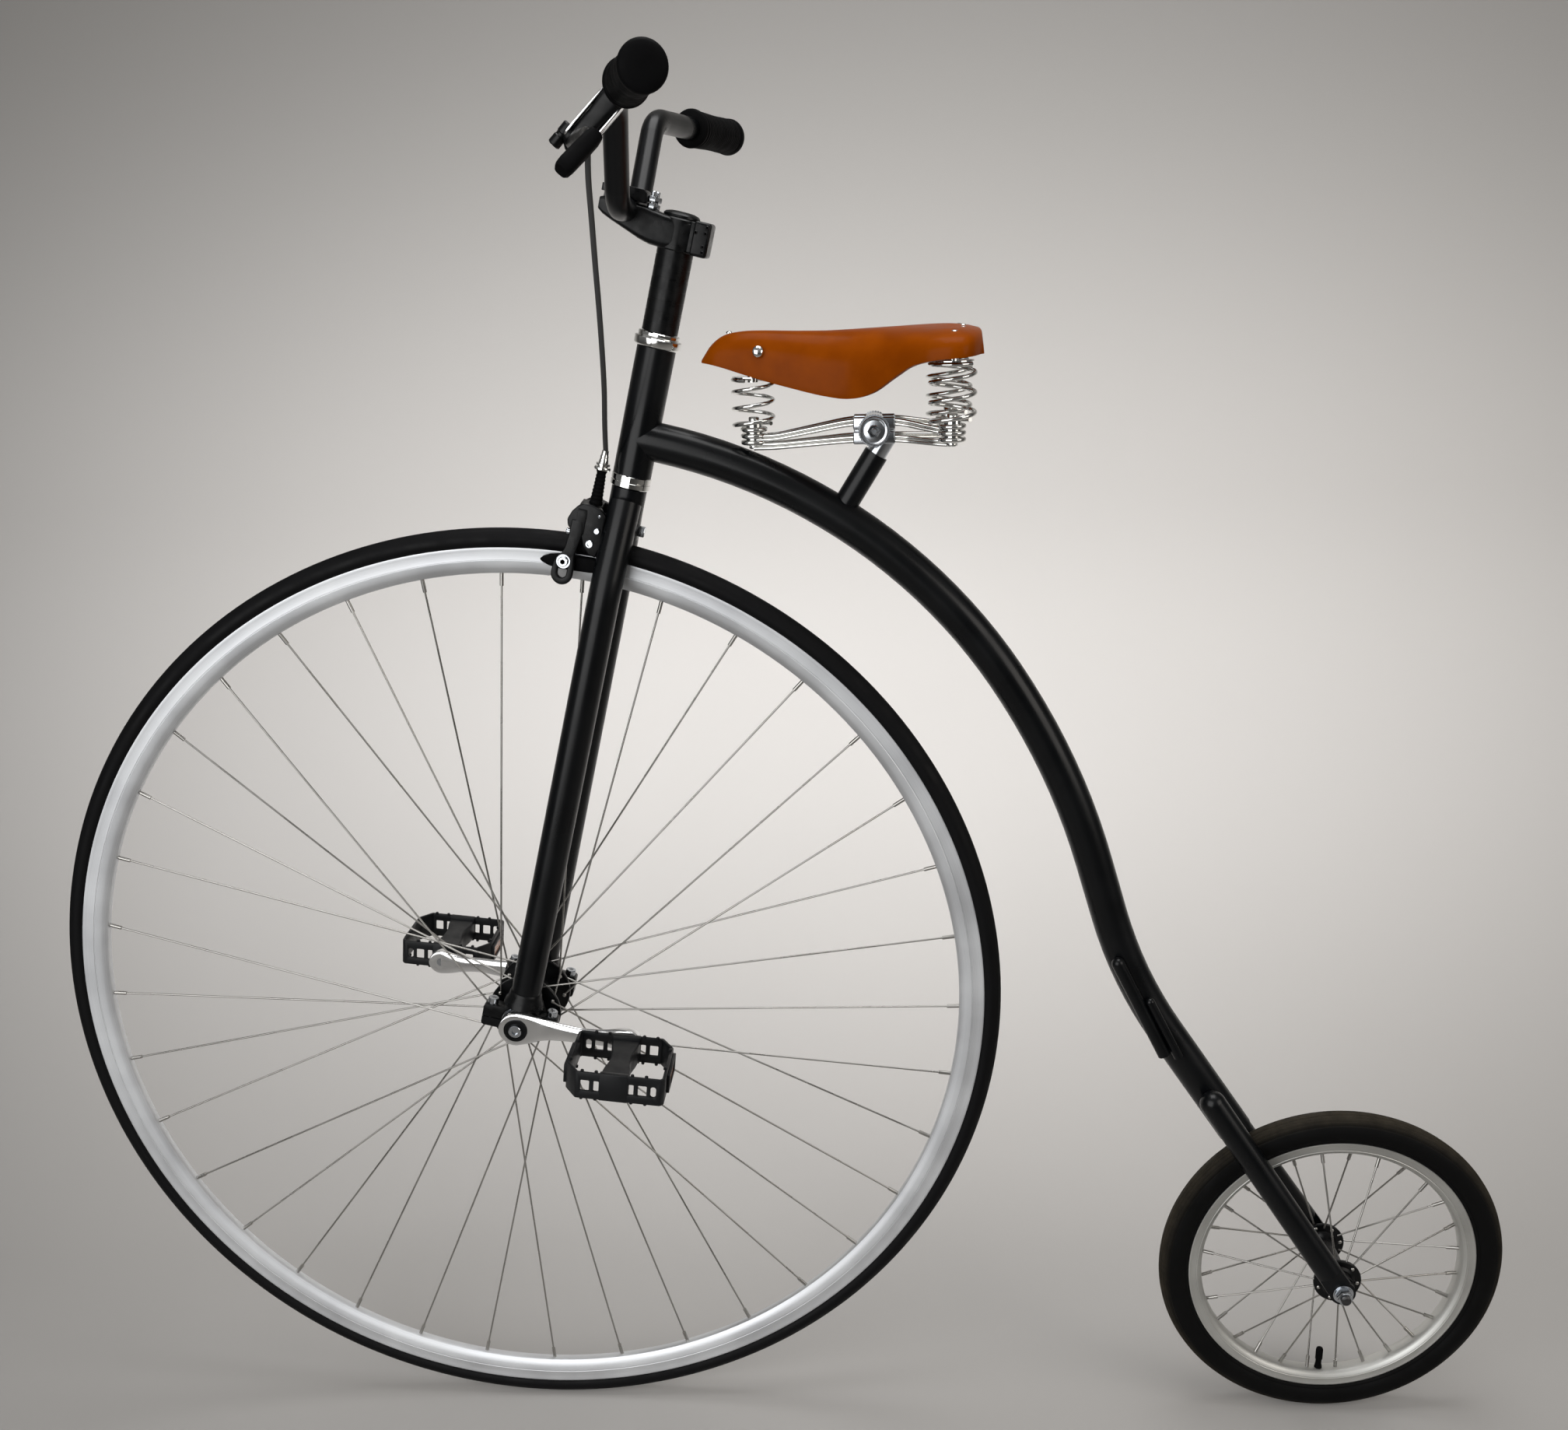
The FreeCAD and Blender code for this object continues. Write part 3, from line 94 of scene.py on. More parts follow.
joints = {joint["name"]: joint for joint in frame["joints"]}
front_axle = middle("front_rim")
rear_axle = middle("rear_rim")
steer_axis = Vector(joints["steering_turn"]["axis"]).normalized()
steer_tilt = atan2(steer_axis.x, steer_axis.z)
upright = Matrix.Scale(MM, 4)
in_fork = moved(*front_axle) @ Matrix.Rotation(steer_tilt, 4, "Y") @ upright
at_front_axle = moved(*front_axle) @ upright
at_rear_axle = moved(*rear_axle) @ upright
floor_level = cad_bounds[0][2]
print("steering leans", round(degrees(steer_tilt), 2), "degrees")

# %% [markdown]
# ## Camera
# The view is a standing person's through a wide lens: a little to the rear of the middle, at saddle
# height, and looking down at the wheels. A wide lens close by makes the near grip and pedal larger
# than the far ones. The upward shift keeps the handlebar in the frame without tilting further.

# %% Set the camera
def placed(name, data):
    """A new object in the scene."""
    made = bpy.data.objects.new(name, data)
    bpy.context.scene.collection.objects.link(made)
    return made


lens = bpy.data.cameras.new("camera")
lens.lens = 37.54
lens.sensor_width = 36
lens.shift_y = 0.091
lens.clip_start = 0.05
camera = placed("camera", lens)
yaw, pitch, roll = (radians(angle) for angle in (-3.826, 19.743, -1.524))
forward = Vector((sin(yaw) * cos(pitch), cos(yaw) * cos(pitch), -sin(pitch)))
level = Vector((cos(yaw), -sin(yaw), 0))
above = level.cross(forward)
right = level * cos(roll) + above * sin(roll)
up = above * cos(roll) - level * sin(roll)
turn = Matrix((right, up, -forward)).transposed().to_4x4()
standpoint = -0.0125, -1.6236, 0.0544
camera.matrix_world = moved(*standpoint) @ turn
bpy.context.scene.camera = camera
bpy.context.scene.view_settings.view_transform = "Standard"

# %% [markdown]
# ## Light
# Three large lamps light the bicycle as a studio does: a wide one in front on the left draws the
# long highlights on the black tubes and lights the flat of the rims, a weaker one fills from the
# right, and one overhead lights the wall and the top edges. The world is a soft grey, paler above.

# %% Colours and shader nodes
def colour(code):
    """Turns an sRGB hex code to the linear colour that a shader wants."""
    parts = [int(code[place:place + 2], 16) / 255 for place in (1, 3, 5)]
    return tuple(p / 12.92 if p <= 0.04045 else ((p + 0.055) / 1.055) ** 2.4 for p in parts) + (1.0,)


def add(tree, kind, settings=None, links=None, out=0):
    """Adds a shader node with its settings and what feeds it, and returns one of its outputs."""
    node = tree.nodes.new("ShaderNode" + kind)
    for name, value in (settings or {}).items():
        if isinstance(name, int) or name in node.inputs:
            node.inputs[name].default_value = value
        else:
            setattr(node, name, value)
    for name, socket in (links or {}).items():
        tree.links.new(socket, node.inputs[name])
    return node.outputs[out] if len(node.outputs) else node


# %% Lamps and world
def lamp(name, place, aim, size, watts, tint):
    """A square area lamp turned to a point."""
    light = bpy.data.lights.new(name, "AREA")
    light.size = size
    light.energy = watts
    light.color = colour(tint)[:3]
    towards = Vector(aim) - Vector(place)
    placed(name, light).matrix_world = moved(*place) @ towards.to_track_quat("-Z", "Y").to_matrix().to_4x4()


lamp("key lamp", (-1.35, -2.4, 0.3), (0, 0.1, -0.5), 2.5, 55, "#FFFFFF")
lamp("fill lamp", (2.4, -1.3, 0.4), (0.3, 0.4, -0.6), 1.6, 20, "#FFF9F2")
lamp("top lamp", (0.15, 0.15, 1.9), (0.1, 1, -0.6), 1.6, 37, "#FFFFFF")
world = bpy.data.worlds.new("studio")
world.use_nodes = True
sky = world.node_tree
sky.nodes.clear()
height = add(sky, "SeparateXYZ", links={"Vector": add(sky, "TexCoord", out="Generated")}, out="Z")
strength = add(sky, "MapRange", {"From Min": -0.1, "From Max": 0.75, "To Min": 0.07, "To Max": 0.34},
    {"Value": height})
glow = add(sky, "Background", {"Color": colour("#F7F6F5")}, {"Strength": strength})
add(sky, "OutputWorld", links={"Surface": glow})
bpy.context.scene.world = world

# %% [markdown]
# ## Finishes
# Every material is one Principled shader. Noise read from the object's own coordinates, which are
# metres, makes its colour uneven and its surface rough, so each pattern's scale is a real size.

# %% Start a material
def finish(name, **settings):
    """A new material of one Principled shader, with its tree, the shader's inputs and coordinates."""
    material = bpy.data.materials.new(name)
    material.use_nodes = True
    tree = material.node_tree
    tree.nodes.clear()
    shader = add(tree, "BsdfPrincipled", {key.replace("_", " "): value for key, value in settings.items()})
    add(tree, "OutputMaterial", links={"Surface": shader})
    return material, tree, shader.node.inputs, add(tree, "TexCoord", out="Object")


def across(size_mm):
    """A noise scale whose blotches are about this many millimetres across."""
    return 1 / (size_mm * MM)


# %% Patches, two colours and a grain
def mottle(tree, place, size_mm, low, high, socket, detail=3):
    """Feeds a socket with soft patches between two values."""
    patches = add(tree, "TexNoise", {"Scale": across(size_mm), "Detail": detail}, {"Vector": place})
    tree.links.new(add(tree, "MapRange", {"From Min": 0.35, "From Max": 0.68, "To Min": low, "To Max": high},
        {"Value": patches}), socket)
    return patches


def dress(tree, inputs, factor, dark, pale, height=None, depth_mm=0, strength=0):
    """Mixes two colours by one pattern, and raises the surface by another."""
    mix = add(tree, "Mix", {"data_type": "RGBA", 6: colour(dark), 7: colour(pale)}, {0: factor}, 2)
    tree.links.new(mix, inputs["Base Color"])
    if height is not None:
        bump = add(tree, "Bump", {"Strength": strength, "Distance": depth_mm * MM}, {"Height": height})
        tree.links.new(bump, inputs["Normal"])
    return mix


def surface(name, patch_mm, rough, dark, pale, grain=None, detail=3, **settings):
    """A finish with soft patches in its roughness and colour, and perhaps a fine raised grain."""
    material, tree, inputs, place = finish(name, **settings)
    patches = mottle(tree, place, patch_mm, *rough, inputs["Roughness"], detail)
    kind, options, depth_mm, strength = grain or (None, None, 0, 0)
    height = add(tree, kind, options, {"Vector": place}) if grain else None
    dress(tree, inputs, patches, dark, pale, height, depth_mm, strength)
    return material


# %% [markdown]
# Gloss enamel on steel tube: baked paint flows out almost flat, with a slight orange peel a few
# millimetres wide, and dust dulls it in soft patches. A clear coat gives the sharp highlight.
# Black anodised alloy is matter and greyer: light catches a very fine grain.

# %% Enamel and black alloy
black_enamel = surface("black enamel", 55, (0.26, 0.38), "#030405", "#07090C",
    ("TexNoise", {"Scale": across(2.5), "Detail": 2}, 0.2, 0.05), Specular_IOR_Level=0.22, Coat_Weight=0.1,
    Coat_Roughness=0.18)
black_alloy = surface("black anodised alloy", 9, (0.26, 0.42), "#030404", "#07080A",
    ("TexNoise", {"Scale": across(0.7), "Detail": 2}, 0.05, 0.3), Specular_IOR_Level=0.22)

# %% [markdown]
# Chrome plate is a mirror with a cool tone, over steel that was polished first. Fingers and dust
# leave faint dull patches. The polished alloy of the cranks is a little whiter and softer, the
# spokes are drawn stainless wire, screws are zinc plated, and the axle's thread is bare oiled steel.

# %% Bright metals
metals = [
    ("chrome plate", 14, (0.06, 0.16), "#D6D6D3", "#E6E6E3"),
    ("polished alloy", 22, (0.11, 0.24), "#E0E1E2", "#F2F2F1"),
    ("stainless steel wire", 40, (0.22, 0.38), "#8E8C88", "#BCBAB6"),
    ("oiled steel", 3, (0.34, 0.5), "#3C3C3D", "#5F5F5F"),
    ("zinc plate", 16, (0.14, 0.22), "#B0B5BB", "#C9CCD0"),
]
chrome, polished_alloy, spoke_steel, dark_steel, zinc = (surface(*metal, Metallic=1) for metal in metals)

# %% [markdown]
# The rims are extruded aluminium, rolled into a hoop and brushed as they turn, so the fine lines run
# round the wheel. The distance from the axle, which a length node gives, drives the lines: a noise
# that changes fast with that distance and slowly along the hoop.

# %% Brushed rims
def reach_from(axle, tree, place):
    """The distance from a wheel's axle."""
    centred = add(tree, "Mapping", {"Location": -axle}, {"Vector": place})
    flat = add(tree, "VectorMath", {"operation": "MULTIPLY", 1: (1, 0, 1)}, {0: centred})
    return add(tree, "VectorMath", {"operation": "LENGTH"}, {0: flat}, "Value")


def brushed_hoop(name, axle, dark, pale):
    """Aluminium with brush lines round an axle."""
    metal, tree, inputs, place = finish(name, Metallic=1)
    lines = add(tree, "TexNoise", {"noise_dimensions": "1D", "Scale": across(0.8), "Detail": 4},
        {"W": reach_from(axle, tree, place)})
    cloud = mottle(tree, place, 70, 0.46, 0.56, inputs["Roughness"])
    both = add(tree, "Math", {"operation": "MULTIPLY_ADD", 1: 0.45}, {0: lines, 2: cloud})
    dress(tree, inputs, both, dark, pale, lines, 0.05, 0.25)
    return metal


front_alloy = brushed_hoop("brushed alloy front", front_axle, "#BDBFC4", "#E6E8EA")
rear_alloy = brushed_hoop("brushed alloy rear", rear_axle, "#A3A4A2", "#D6D6D2")

# %% [markdown]
# Rubber is dull, and never quite black: fine dust sits in its pores. The grips are a soft moulded
# rubber, and the tyres a harder one. The rear tyre is dusty near its tread, where it rolls. The
# pedals are moulded plastic with a leathery spark grain, and their reflectors clear amber acrylic.

# %% Rubber and plastic
tyre_rubber = surface("tyre rubber", 24, (0.5, 0.7), "#050506", "#0A0A0C",
    ("TexNoise", {"Scale": across(0.9), "Detail": 3}, 0.12, 0.35), Specular_IOR_Level=0.14)
grip_rubber = surface("grip rubber", 12, (0.55, 0.75), "#050506", "#0C0C0D",
    ("TexNoise", {"Scale": across(0.8), "Detail": 3}, 0.15, 0.4), Specular_IOR_Level=0.05)
black_plastic = surface("moulded nylon", 18, (0.38, 0.54), "#08090B", "#101215",
    ("TexVoronoi", {"Scale": across(1.1)}, 0.12, 0.3), Specular_IOR_Level=0.3)

dusty_rubber, tree, inputs, place = finish("dusty tyre rubber", Specular_IOR_Level=0.12)
mottle(tree, place, 30, 0.6, 0.8, inputs["Roughness"])
rolled = add(tree, "MapRange", {"From Min": 0.18, "From Max": 0.1895, "To Min": 0, "To Max": 0.55},
    {"Value": reach_from(rear_axle, tree, place)})
smudges = add(tree, "TexNoise", {"Scale": across(16), "Detail": 5, "Roughness": 0.7}, {"Vector": place})
dust = add(tree, "Math", {"operation": "MULTIPLY", "use_clamp": True}, {0: rolled, 1: smudges})
dress(tree, inputs, dust, "#060606", "#595143", smudges, 0.2, 0.35)

amber, tree, inputs, place = finish("amber acrylic", Roughness=0.18, IOR=1.49, Coat_Weight=0.6)
cells = add(tree, "TexVoronoi", {"Scale": across(3), "distance": "MANHATTAN"}, {"Vector": place})
dress(tree, inputs, cells, "#E08A18", "#8A3A04", cells, 0.8, 0.6)

# %% [markdown]
# Saddle leather is thick cow hide, soaked, pressed over a form and lacquered. The tan is uneven,
# redder where the hide was pulled hard, and the lacquer gives a wet highlight over a fine grain.

# %% Tan leather
tan_leather = surface("lacquered saddle leather", 36, (0.32, 0.46), "#682900", "#984800",
    ("TexVoronoi", {"Scale": across(1.6), "feature": "SMOOTH_F1"}, 0.2, 0.25), 5, Specular_IOR_Level=0.02,
    Coat_Weight=0.04, Coat_Roughness=0.16)

# %% [markdown]
# ## Backdrop
# A paper sweep, floor and wall in one curve, gives the soft pale grey ground. Its colour is a painted
# pool of light, palest behind the wheel, with painted shade greying it towards the edges. A faint painted
# glow that only the lens and mirrors see keeps it pale with no more light on the metal, and its back is
# clear, so that it hides nothing from behind.

# %% Paper sweep
def only(kind, geometry):
    """The items of one kind, such as vertices, from what an operator returns."""
    return [item for item in geometry if isinstance(item, kind)]


sweep = bmesh.new()
wall_at = 1.15
curve_radius = 0.9
half_width = 7
paper_level = floor_level - 0.0005
edge = sweep.verts.new((-half_width, -half_width, paper_level))
ahead = sweep.verts.new((-half_width, wall_at - curve_radius, paper_level))
sweep.edges.new((edge, ahead))
bend = ops.spin(sweep, geom=[ahead], angle=pi / 2, steps=24, use_duplicate=False, axis=(1, 0, 0),
    cent=(0, wall_at - curve_radius, floor_level + curve_radius), dvec=(0, 0, 0))
rise = ops.extrude_vert_indiv(sweep, verts=only(bmesh.types.BMVert, bend["geom_last"]))
ops.translate(sweep, verts=rise["verts"], vec=(0, 0, 4))
widen = ops.extrude_edge_only(sweep, edges=sweep.edges[:])
ops.translate(sweep, verts=only(bmesh.types.BMVert, widen["geom"]), vec=(2 * half_width, 0, 0))
for face in sweep.faces:
    face.smooth = True
paper_mesh = bpy.data.meshes.new("backdrop")
sweep.to_mesh(paper_mesh)
sweep.free()
backdrop = placed("backdrop", paper_mesh)

# %% The paper's finish
paper, tree, inputs, place = finish("studio paper", Roughness=0.9, Specular_IOR_Level=0.1)
front = inputs["Base Color"].node.outputs[0]
back_mix = add(tree, "MixShader", links={0: add(tree, "NewGeometry", out="Backfacing"), 1: front,
    2: add(tree, "BsdfTransparent")})
tree.links.new(back_mix, tree.get_output_node("ALL").inputs["Surface"])
# Painted light: the paper's colour is a pool of light, pale in the middle and greyed by painted shade towards
# the edges.
away = add(tree, "Mapping", {"Location": (0.045, -0.47, 0.65), "Scale": (0.585, 0.7, 1.3)}, {"Vector": place})
squared = add(tree, "VectorMath", {"operation": "DOT_PRODUCT"}, {0: away, 1: away}, "Value")
faded = add(tree, "Math", {"operation": "MULTIPLY", 1: -1}, {0: squared})
painted_light_pool = add(tree, "Math", {"operation": "EXPONENT"}, {0: faded})
tree.links.new(dress(tree, inputs, painted_light_pool, "#6A6865", "#F7F4F1"), inputs["Emission Color"])
# Painted glow: the paper gives off its own pool-coloured light, seen only by the lens and in mirrors.
ray = add(tree, "LightPath").node.outputs
mirrored = add(tree, "Math", {"operation": "ADD"}, {0: ray["Is Glossy Ray"], 1: ray["Is Transmission Ray"]})
seen = add(tree, "Math", {"operation": "ADD", "use_clamp": True}, {0: ray["Is Camera Ray"], 1: mirrored})
painted_glow_strength = add(tree, "Math", {"operation": "MULTIPLY", 1: 0.095}, {0: seen})
tree.links.new(painted_glow_strength, inputs["Emission Strength"])
paper_mesh.materials.append(paper)

# %% Give each solid its finish; the brake cable has the plain rubber that came with the solids
wears = {
    black_enamel: "backbone head_tube rear_legs seat_post mounting_steps fork_blades fork_steerer handlebar",
    chrome: "headset_rings saddle_springs saddle_frame saddle_rails",
    zinc: "saddle_clamp bearing_bolts stem_bolts brake_bolts cable_adjuster rear_axle crank_bolts front_axle "
          "bearings brake_lever pedal_spindles",
    spoke_steel: "front_spokes rear_spokes",
    polished_alloy: "cranks",
    black_alloy: "spacer_stack stem stem_cap stem_lid bearing_blocks bearing_caps front_hub rear_hub "
                 "caliper_arm_right caliper_arm_left brake_lever_bracket",
    tyre_rubber: "front_tyre rear_tyre",
    grip_rubber: "grips brake_lever_tip brake_pads cable_boot rear_valve",
    bpy.data.materials["grip rubber"]: "brake_cable",
    black_plastic: "pedal_left pedal_right",
    amber: "pedal_reflectors_left pedal_reflectors_right",
    tan_leather: "saddle_leather",
    front_alloy: "front_rim",
    rear_alloy: "rear_rim",
}
bare = set(frame["nodes"])
for material, nodes in wears.items():
    for node in nodes.split():
        materials = frame["nodes"][node].data.materials
        materials.clear()
        materials.append(material)
        bare.discard(node)
print("solids without a finish:", sorted(bare))

# %% [markdown]
# ## Ways of modelling
# Most pieces here start in one of two ways. A turned piece is an outline spun round an axis, as on
# a lathe. A cut piece is a flat outline extruded to its thickness. Both are then bevelled, because
# no real edge is sharp, and gathered with their like into one mesh.

# %% Spin, extrude and bevel
def turned(outline, steps=48):
    """An outline of (radius, along) corners spun about +Z; it may start and end on the axis."""
    shape = bmesh.new()
    points = [shape.verts.new((radius, 0, along)) for radius, along in outline]
    edges = [shape.edges.new(pair) for pair in zip(points, points[1:])]
    if outline[0][0] > 0:
        edges.append(shape.edges.new((points[-1], points[0])))
    ops.spin(shape, geom=points + edges, cent=(0, 0, 0), axis=(0, 0, 1), dvec=(0, 0, 0), angle=2 * pi,
        steps=steps, use_merge=True)
    ops.remove_doubles(shape, verts=shape.verts, dist=0.0005)
    ops.recalc_face_normals(shape, faces=shape.faces)
    return shape


def lathe(outline, steps=32):
    """A solid turned piece: its outline is closed to the axis at both ends."""
    return turned([(0, outline[0][1]), *outline, (0, outline[-1][1])], steps)


def cut_out(outline, thickness):
    """A flat outline of (x, z) corners given a thickness along +Y, with its middle at 0."""
    shape = bmesh.new()
    face = shape.faces.new([shape.verts.new((x, -thickness / 2, z)) for x, z in outline])
    grown = ops.extrude_face_region(shape, geom=[face])
    ops.translate(shape, verts=only(bmesh.types.BMVert, grown["geom"]), vec=(0, thickness, 0))
    ops.recalc_face_normals(shape, faces=shape.faces)
    return shape


def soften(shape, width, segments=2, over_deg=30):
    """Bevels the edges that turn by more than an angle."""
    sharp = [edge for edge in shape.edges if edge.calc_face_angle(0) > radians(over_deg)]
    ops.bevel(shape, geom=sharp, offset=width, offset_type="OFFSET", affect="EDGES", segments=segments,
        profile=0.5, material=-1, clamp_overlap=True)
    return shape


# %% Gather shapes and name a piece
def gathered(parts):
    """One shape from (shape, matrix) pairs; the matrix brings millimetres into the object's metres."""
    whole = bmesh.new()
    for shape, matrix in parts:
        scratch = bpy.data.meshes.new("scratch")
        shape.to_mesh(scratch)
        scratch.transform(matrix)
        whole.from_mesh(scratch)
        bpy.data.meshes.remove(scratch)
    ops.recalc_face_normals(whole, faces=whole.faces)
    return whole


def piece(name, parts, material, body, replaced=(), smooth_deg=35):
    """Makes one object of parts or of a whole shape, and says what it rides on and stands for."""
    shape = parts if isinstance(parts, bmesh.types.BMesh) else gathered(parts)
    mesh = bpy.data.meshes.new(name)
    shape.to_mesh(mesh)
    shape.free()
    mesh.materials.append(material)
    mesh.shade_smooth()
    mesh.set_sharp_from_angle(angle=radians(smooth_deg))
    made = placed(name, mesh)
    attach(made, body)
    if replaced:
        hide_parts(*replaced)
    print(name, len(mesh.polygons), "faces")
    return made


def pointing(start, direction):
    """A matrix that puts +Z along a direction from a start, in the frame it is given in."""
    z_axis = Vector(direction).normalized()
    hint = Vector((1, 0, 0) if abs(z_axis.z) > 0.99 else (0, 0, 1))
    x_axis = hint.cross(z_axis).normalized()
    turned_by = Matrix((x_axis, z_axis.cross(x_axis), z_axis)).transposed().to_4x4()
    return moved(*start) @ turned_by


def fixed(at, *rows):
    """Pairs for shapes that stand at a spot with +Z along a direction, all in one frame."""
    return [(shape, at @ pointing(spot, direction)) for shape, spot, direction in rows]


# %% [markdown]
# Three more ways of starting: a plate cut from a filled outline with holes in it, a skin bridged
# over rounded sections, which gives forged and moulded forms, and a screw with a socket for its key.
# The frames of the fork and the wheels let each be drawn where it sits, in millimetres.

# %% Plates, skins and screws
def arc(x, z, radius, start_deg, end_deg, steps=8):
    """Corners along a round stretch of an outline."""
    angles = [radians(start_deg + (end_deg - start_deg) * step / steps) for step in range(steps + 1)]
    return [(x + radius * cos(angle), z + radius * sin(angle)) for angle in angles]


def plate(outline, near, far, holes=()):
    """A filled outline of (x, z) corners with holes, from one level to another along +Y."""
    shape = bmesh.new()
    for loop in (outline, *holes):
        corners = [shape.verts.new((x, near, z)) for x, z in loop]
        for pair in zip(corners, corners[1:] + corners[:1]):
            shape.edges.new(pair)
    filled = ops.triangle_fill(shape, use_beauty=True, use_dissolve=False, edges=shape.edges[:])
    grown = ops.extrude_face_region(shape, geom=only(bmesh.types.BMFace, filled["geom"]))
    ops.translate(shape, verts=only(bmesh.types.BMVert, grown["geom"]), vec=(0, far - near, 0))
    ops.recalc_face_normals(shape, faces=shape.faces)
    return shape


def block(low, high, rounding=1, segments=2):
    """A box between two corners with rounded edges."""
    shape = bmesh.new()
    size = Vector(high) - Vector(low)
    spot = moved(*(Vector(low) + Vector(high)) / 2)
    ops.create_cube(shape, size=1, matrix=spot @ Matrix.Diagonal((*size, 1)))
    return soften(shape, rounding, segments)


def bridged(shape, rings):
    """Joins rings of corners, each to the next, and closes the two ends."""
    loops = [{edge for corner in ring for edge in corner.link_edges} for ring in rings]
    for before, after in zip(loops, loops[1:]):
        ops.bridge_loops(shape, edges=list(before | after))
    ops.holes_fill(shape, edges=[edge for edge in shape.edges if edge.is_boundary], sides=0)
    ops.recalc_face_normals(shape, faces=shape.faces)
    return shape


def skin(sections, steps=32):
    """A skin over rounded sections, each a middle, two half axes and how square it is."""
    shape = bmesh.new()
    rings = []
    for centre, half_a, half_b, square in sections:
        rings.append(ops.create_circle(shape, cap_ends=False, segments=steps, radius=1)["verts"])
        for corner in rings[-1]:
            a, b = (copysign(abs(value) ** (2 / square), value) for value in corner.co.xy)
            corner.co = Vector(centre) + Vector(half_a) * a + Vector(half_b) * b
    return bridged(shape, rings)


def socket_screw(radius, height, key):
    """The head of a cap screw with its hexagon socket, standing on the level 0."""
    shape = bmesh.new()
    rings = [ops.create_circle(shape, cap_ends=False, segments=segments, radius=reach,
        matrix=moved(z=level))["verts"] for segments, reach, level in ((24, radius, 0),
        (24, radius, height - 0.6), (24, radius - 0.6, height), (6, key, height), (6, key, height * 0.4))]
    return bridged(shape, rings)


def hex_nut(across_flats, height):
    """A nut with its corners taken off, standing on the level 0."""
    reach = across_flats / sqrt(3)
    low = height * 0.15
    return lathe([(reach * 0.9, 0), (reach, low), (reach, height - low), (reach * 0.88, height)], 6)


def span(node, frame_matrix):
    """A solid's lowest and highest corner, in millimetres, in a frame that leans or stands elsewhere."""
    back = frame_matrix.inverted()
    spots = [back @ corner.co for corner in frame["nodes"][node].data.vertices]
    return [Vector(pick(values) for values in zip(*spots)) for pick in (min, max)]


def flipped(shape):
    """The same shape on the other side of the bicycle."""
    twin = shape.copy()
    ops.scale(twin, vec=(1, -1, 1), verts=twin.verts)
    ops.reverse_faces(twin, faces=twin.faces)
    return twin


# %% [markdown]
# ## Saddle
# A single piece of hide, about 5 mm thick, is arched from side to side over the nose and spreads
# into two wings at the tail. A grid is bent over that form: each row across it is half of a
# rounded square, and a short table gives its height, its depth and its width along the saddle.
# The last rows drop straight down, as the hide is folded over the tail plate.

# %% Saddle cover
leather_low, leather_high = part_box("saddle_leather")
nose_x = leather_low.x / MM
tail_x = leather_high.x / MM
# columns: share of the length, crown, skirt's edge, half width, squareness of the shoulder
saddle_form = [(0, -24, -26.5, 5, 2), (0.035, -11, -28, 12.5, 2.1), (0.08, -2.5, -31, 16.5, 2.2),
    (0.14, 1, -36, 19, 2.3), (0.22, 1.6, -42.5, 21.5, 2.4), (0.34, 0.6, -51, 27, 2.5),
    (0.45, 0.2, -57.5, 35, 2.5), (0.54, 0.8, -59.5, 45, 2.5), (0.62, 1.6, -53.5, 57, 2.6),
    (0.69, 2.2, -40.5, 69, 2.8), (0.75, 2.6, -30, 81, 3.2), (0.82, 3, -25, 93, 3.6), (0.9, 3, -23, 99, 3.8),
    (0.96, 1.8, -22, 92, 3.6), (1, -0.5, -21, 66, 3.4)]


def along_table(table, share):
    """A row of a table at a share between its rows, on a smooth curve through them."""
    place = max(index for index, row in enumerate(table[:-1]) if row[0] <= share)
    rows = [table[min(max(place + step, 0), len(table) - 1)] for step in (-1, 0, 1, 2)]
    span = rows[2][0] - rows[1][0]
    t = (share - rows[1][0]) / span
    values = []
    for before, here, after, beyond in zip(*(row[1:] for row in rows)):
        lean_here = (after - before) / max(rows[2][0] - rows[0][0], 1e-6) * span
        lean_after = (beyond - here) / max(rows[3][0] - rows[1][0], 1e-6) * span
        values.append((2 * t ** 3 - 3 * t ** 2 + 1) * here + (t ** 3 - 2 * t ** 2 + t) * lean_here
            + (3 * t ** 2 - 2 * t ** 3) * after + (t ** 3 - t ** 2) * lean_after)
    return values


rows_long = 72
rows_across = 48
fold_rows = 6
fold_reach = 1.5
flare = 0.05
hide = bmesh.new()
ops.create_grid(hide, x_segments=rows_long + fold_rows, y_segments=rows_across, size=0.5)
for corner in hide.verts:
    row = (corner.co.x + 0.5) * (rows_long + fold_rows)
    share = min(row / rows_long, 1)
    fold = max(row - rows_long, 0) / fold_rows
    crown, skirt, half, square = along_table(saddle_form, share)
    angle = abs(corner.co.y) * pi
    side = copysign(sin(min(angle, pi / 2)) ** (2 / square), corner.co.y)
    drop = max(cos(min(angle, pi / 2)), 0) ** (2 / square)
    level_here = skirt + (crown - skirt) * drop * (1 - fold)
    spread = 1 + flare * sin(pi * share) * (1 - drop)
    along = nose_x + (tail_x - nose_x) * share + fold_reach * sin(fold * pi / 2)
    corner.co = Vector((along, half * side * spread, level_here)) * MM
ops.remove_doubles(hide, verts=hide.verts, dist=0.00005)
ops.recalc_face_normals(hide, faces=hide.faces)
if sum(face.normal.z * face.calc_area() for face in hide.faces) < 0:
    ops.reverse_faces(hide, faces=hide.faces)
cover = piece("saddle_cover", hide, tan_leather, "frame", ["saddle_leather"], 180)
thick = cover.modifiers.new("hide thickness", "SOLIDIFY")
thick.thickness = 4.6 * MM
thick.offset = -1
edge_round = cover.modifiers.new("burnished edge", "BEVEL")
edge_round.width = 1.2 * MM
edge_round.segments = 2
edge_round.angle_limit = radians(50)

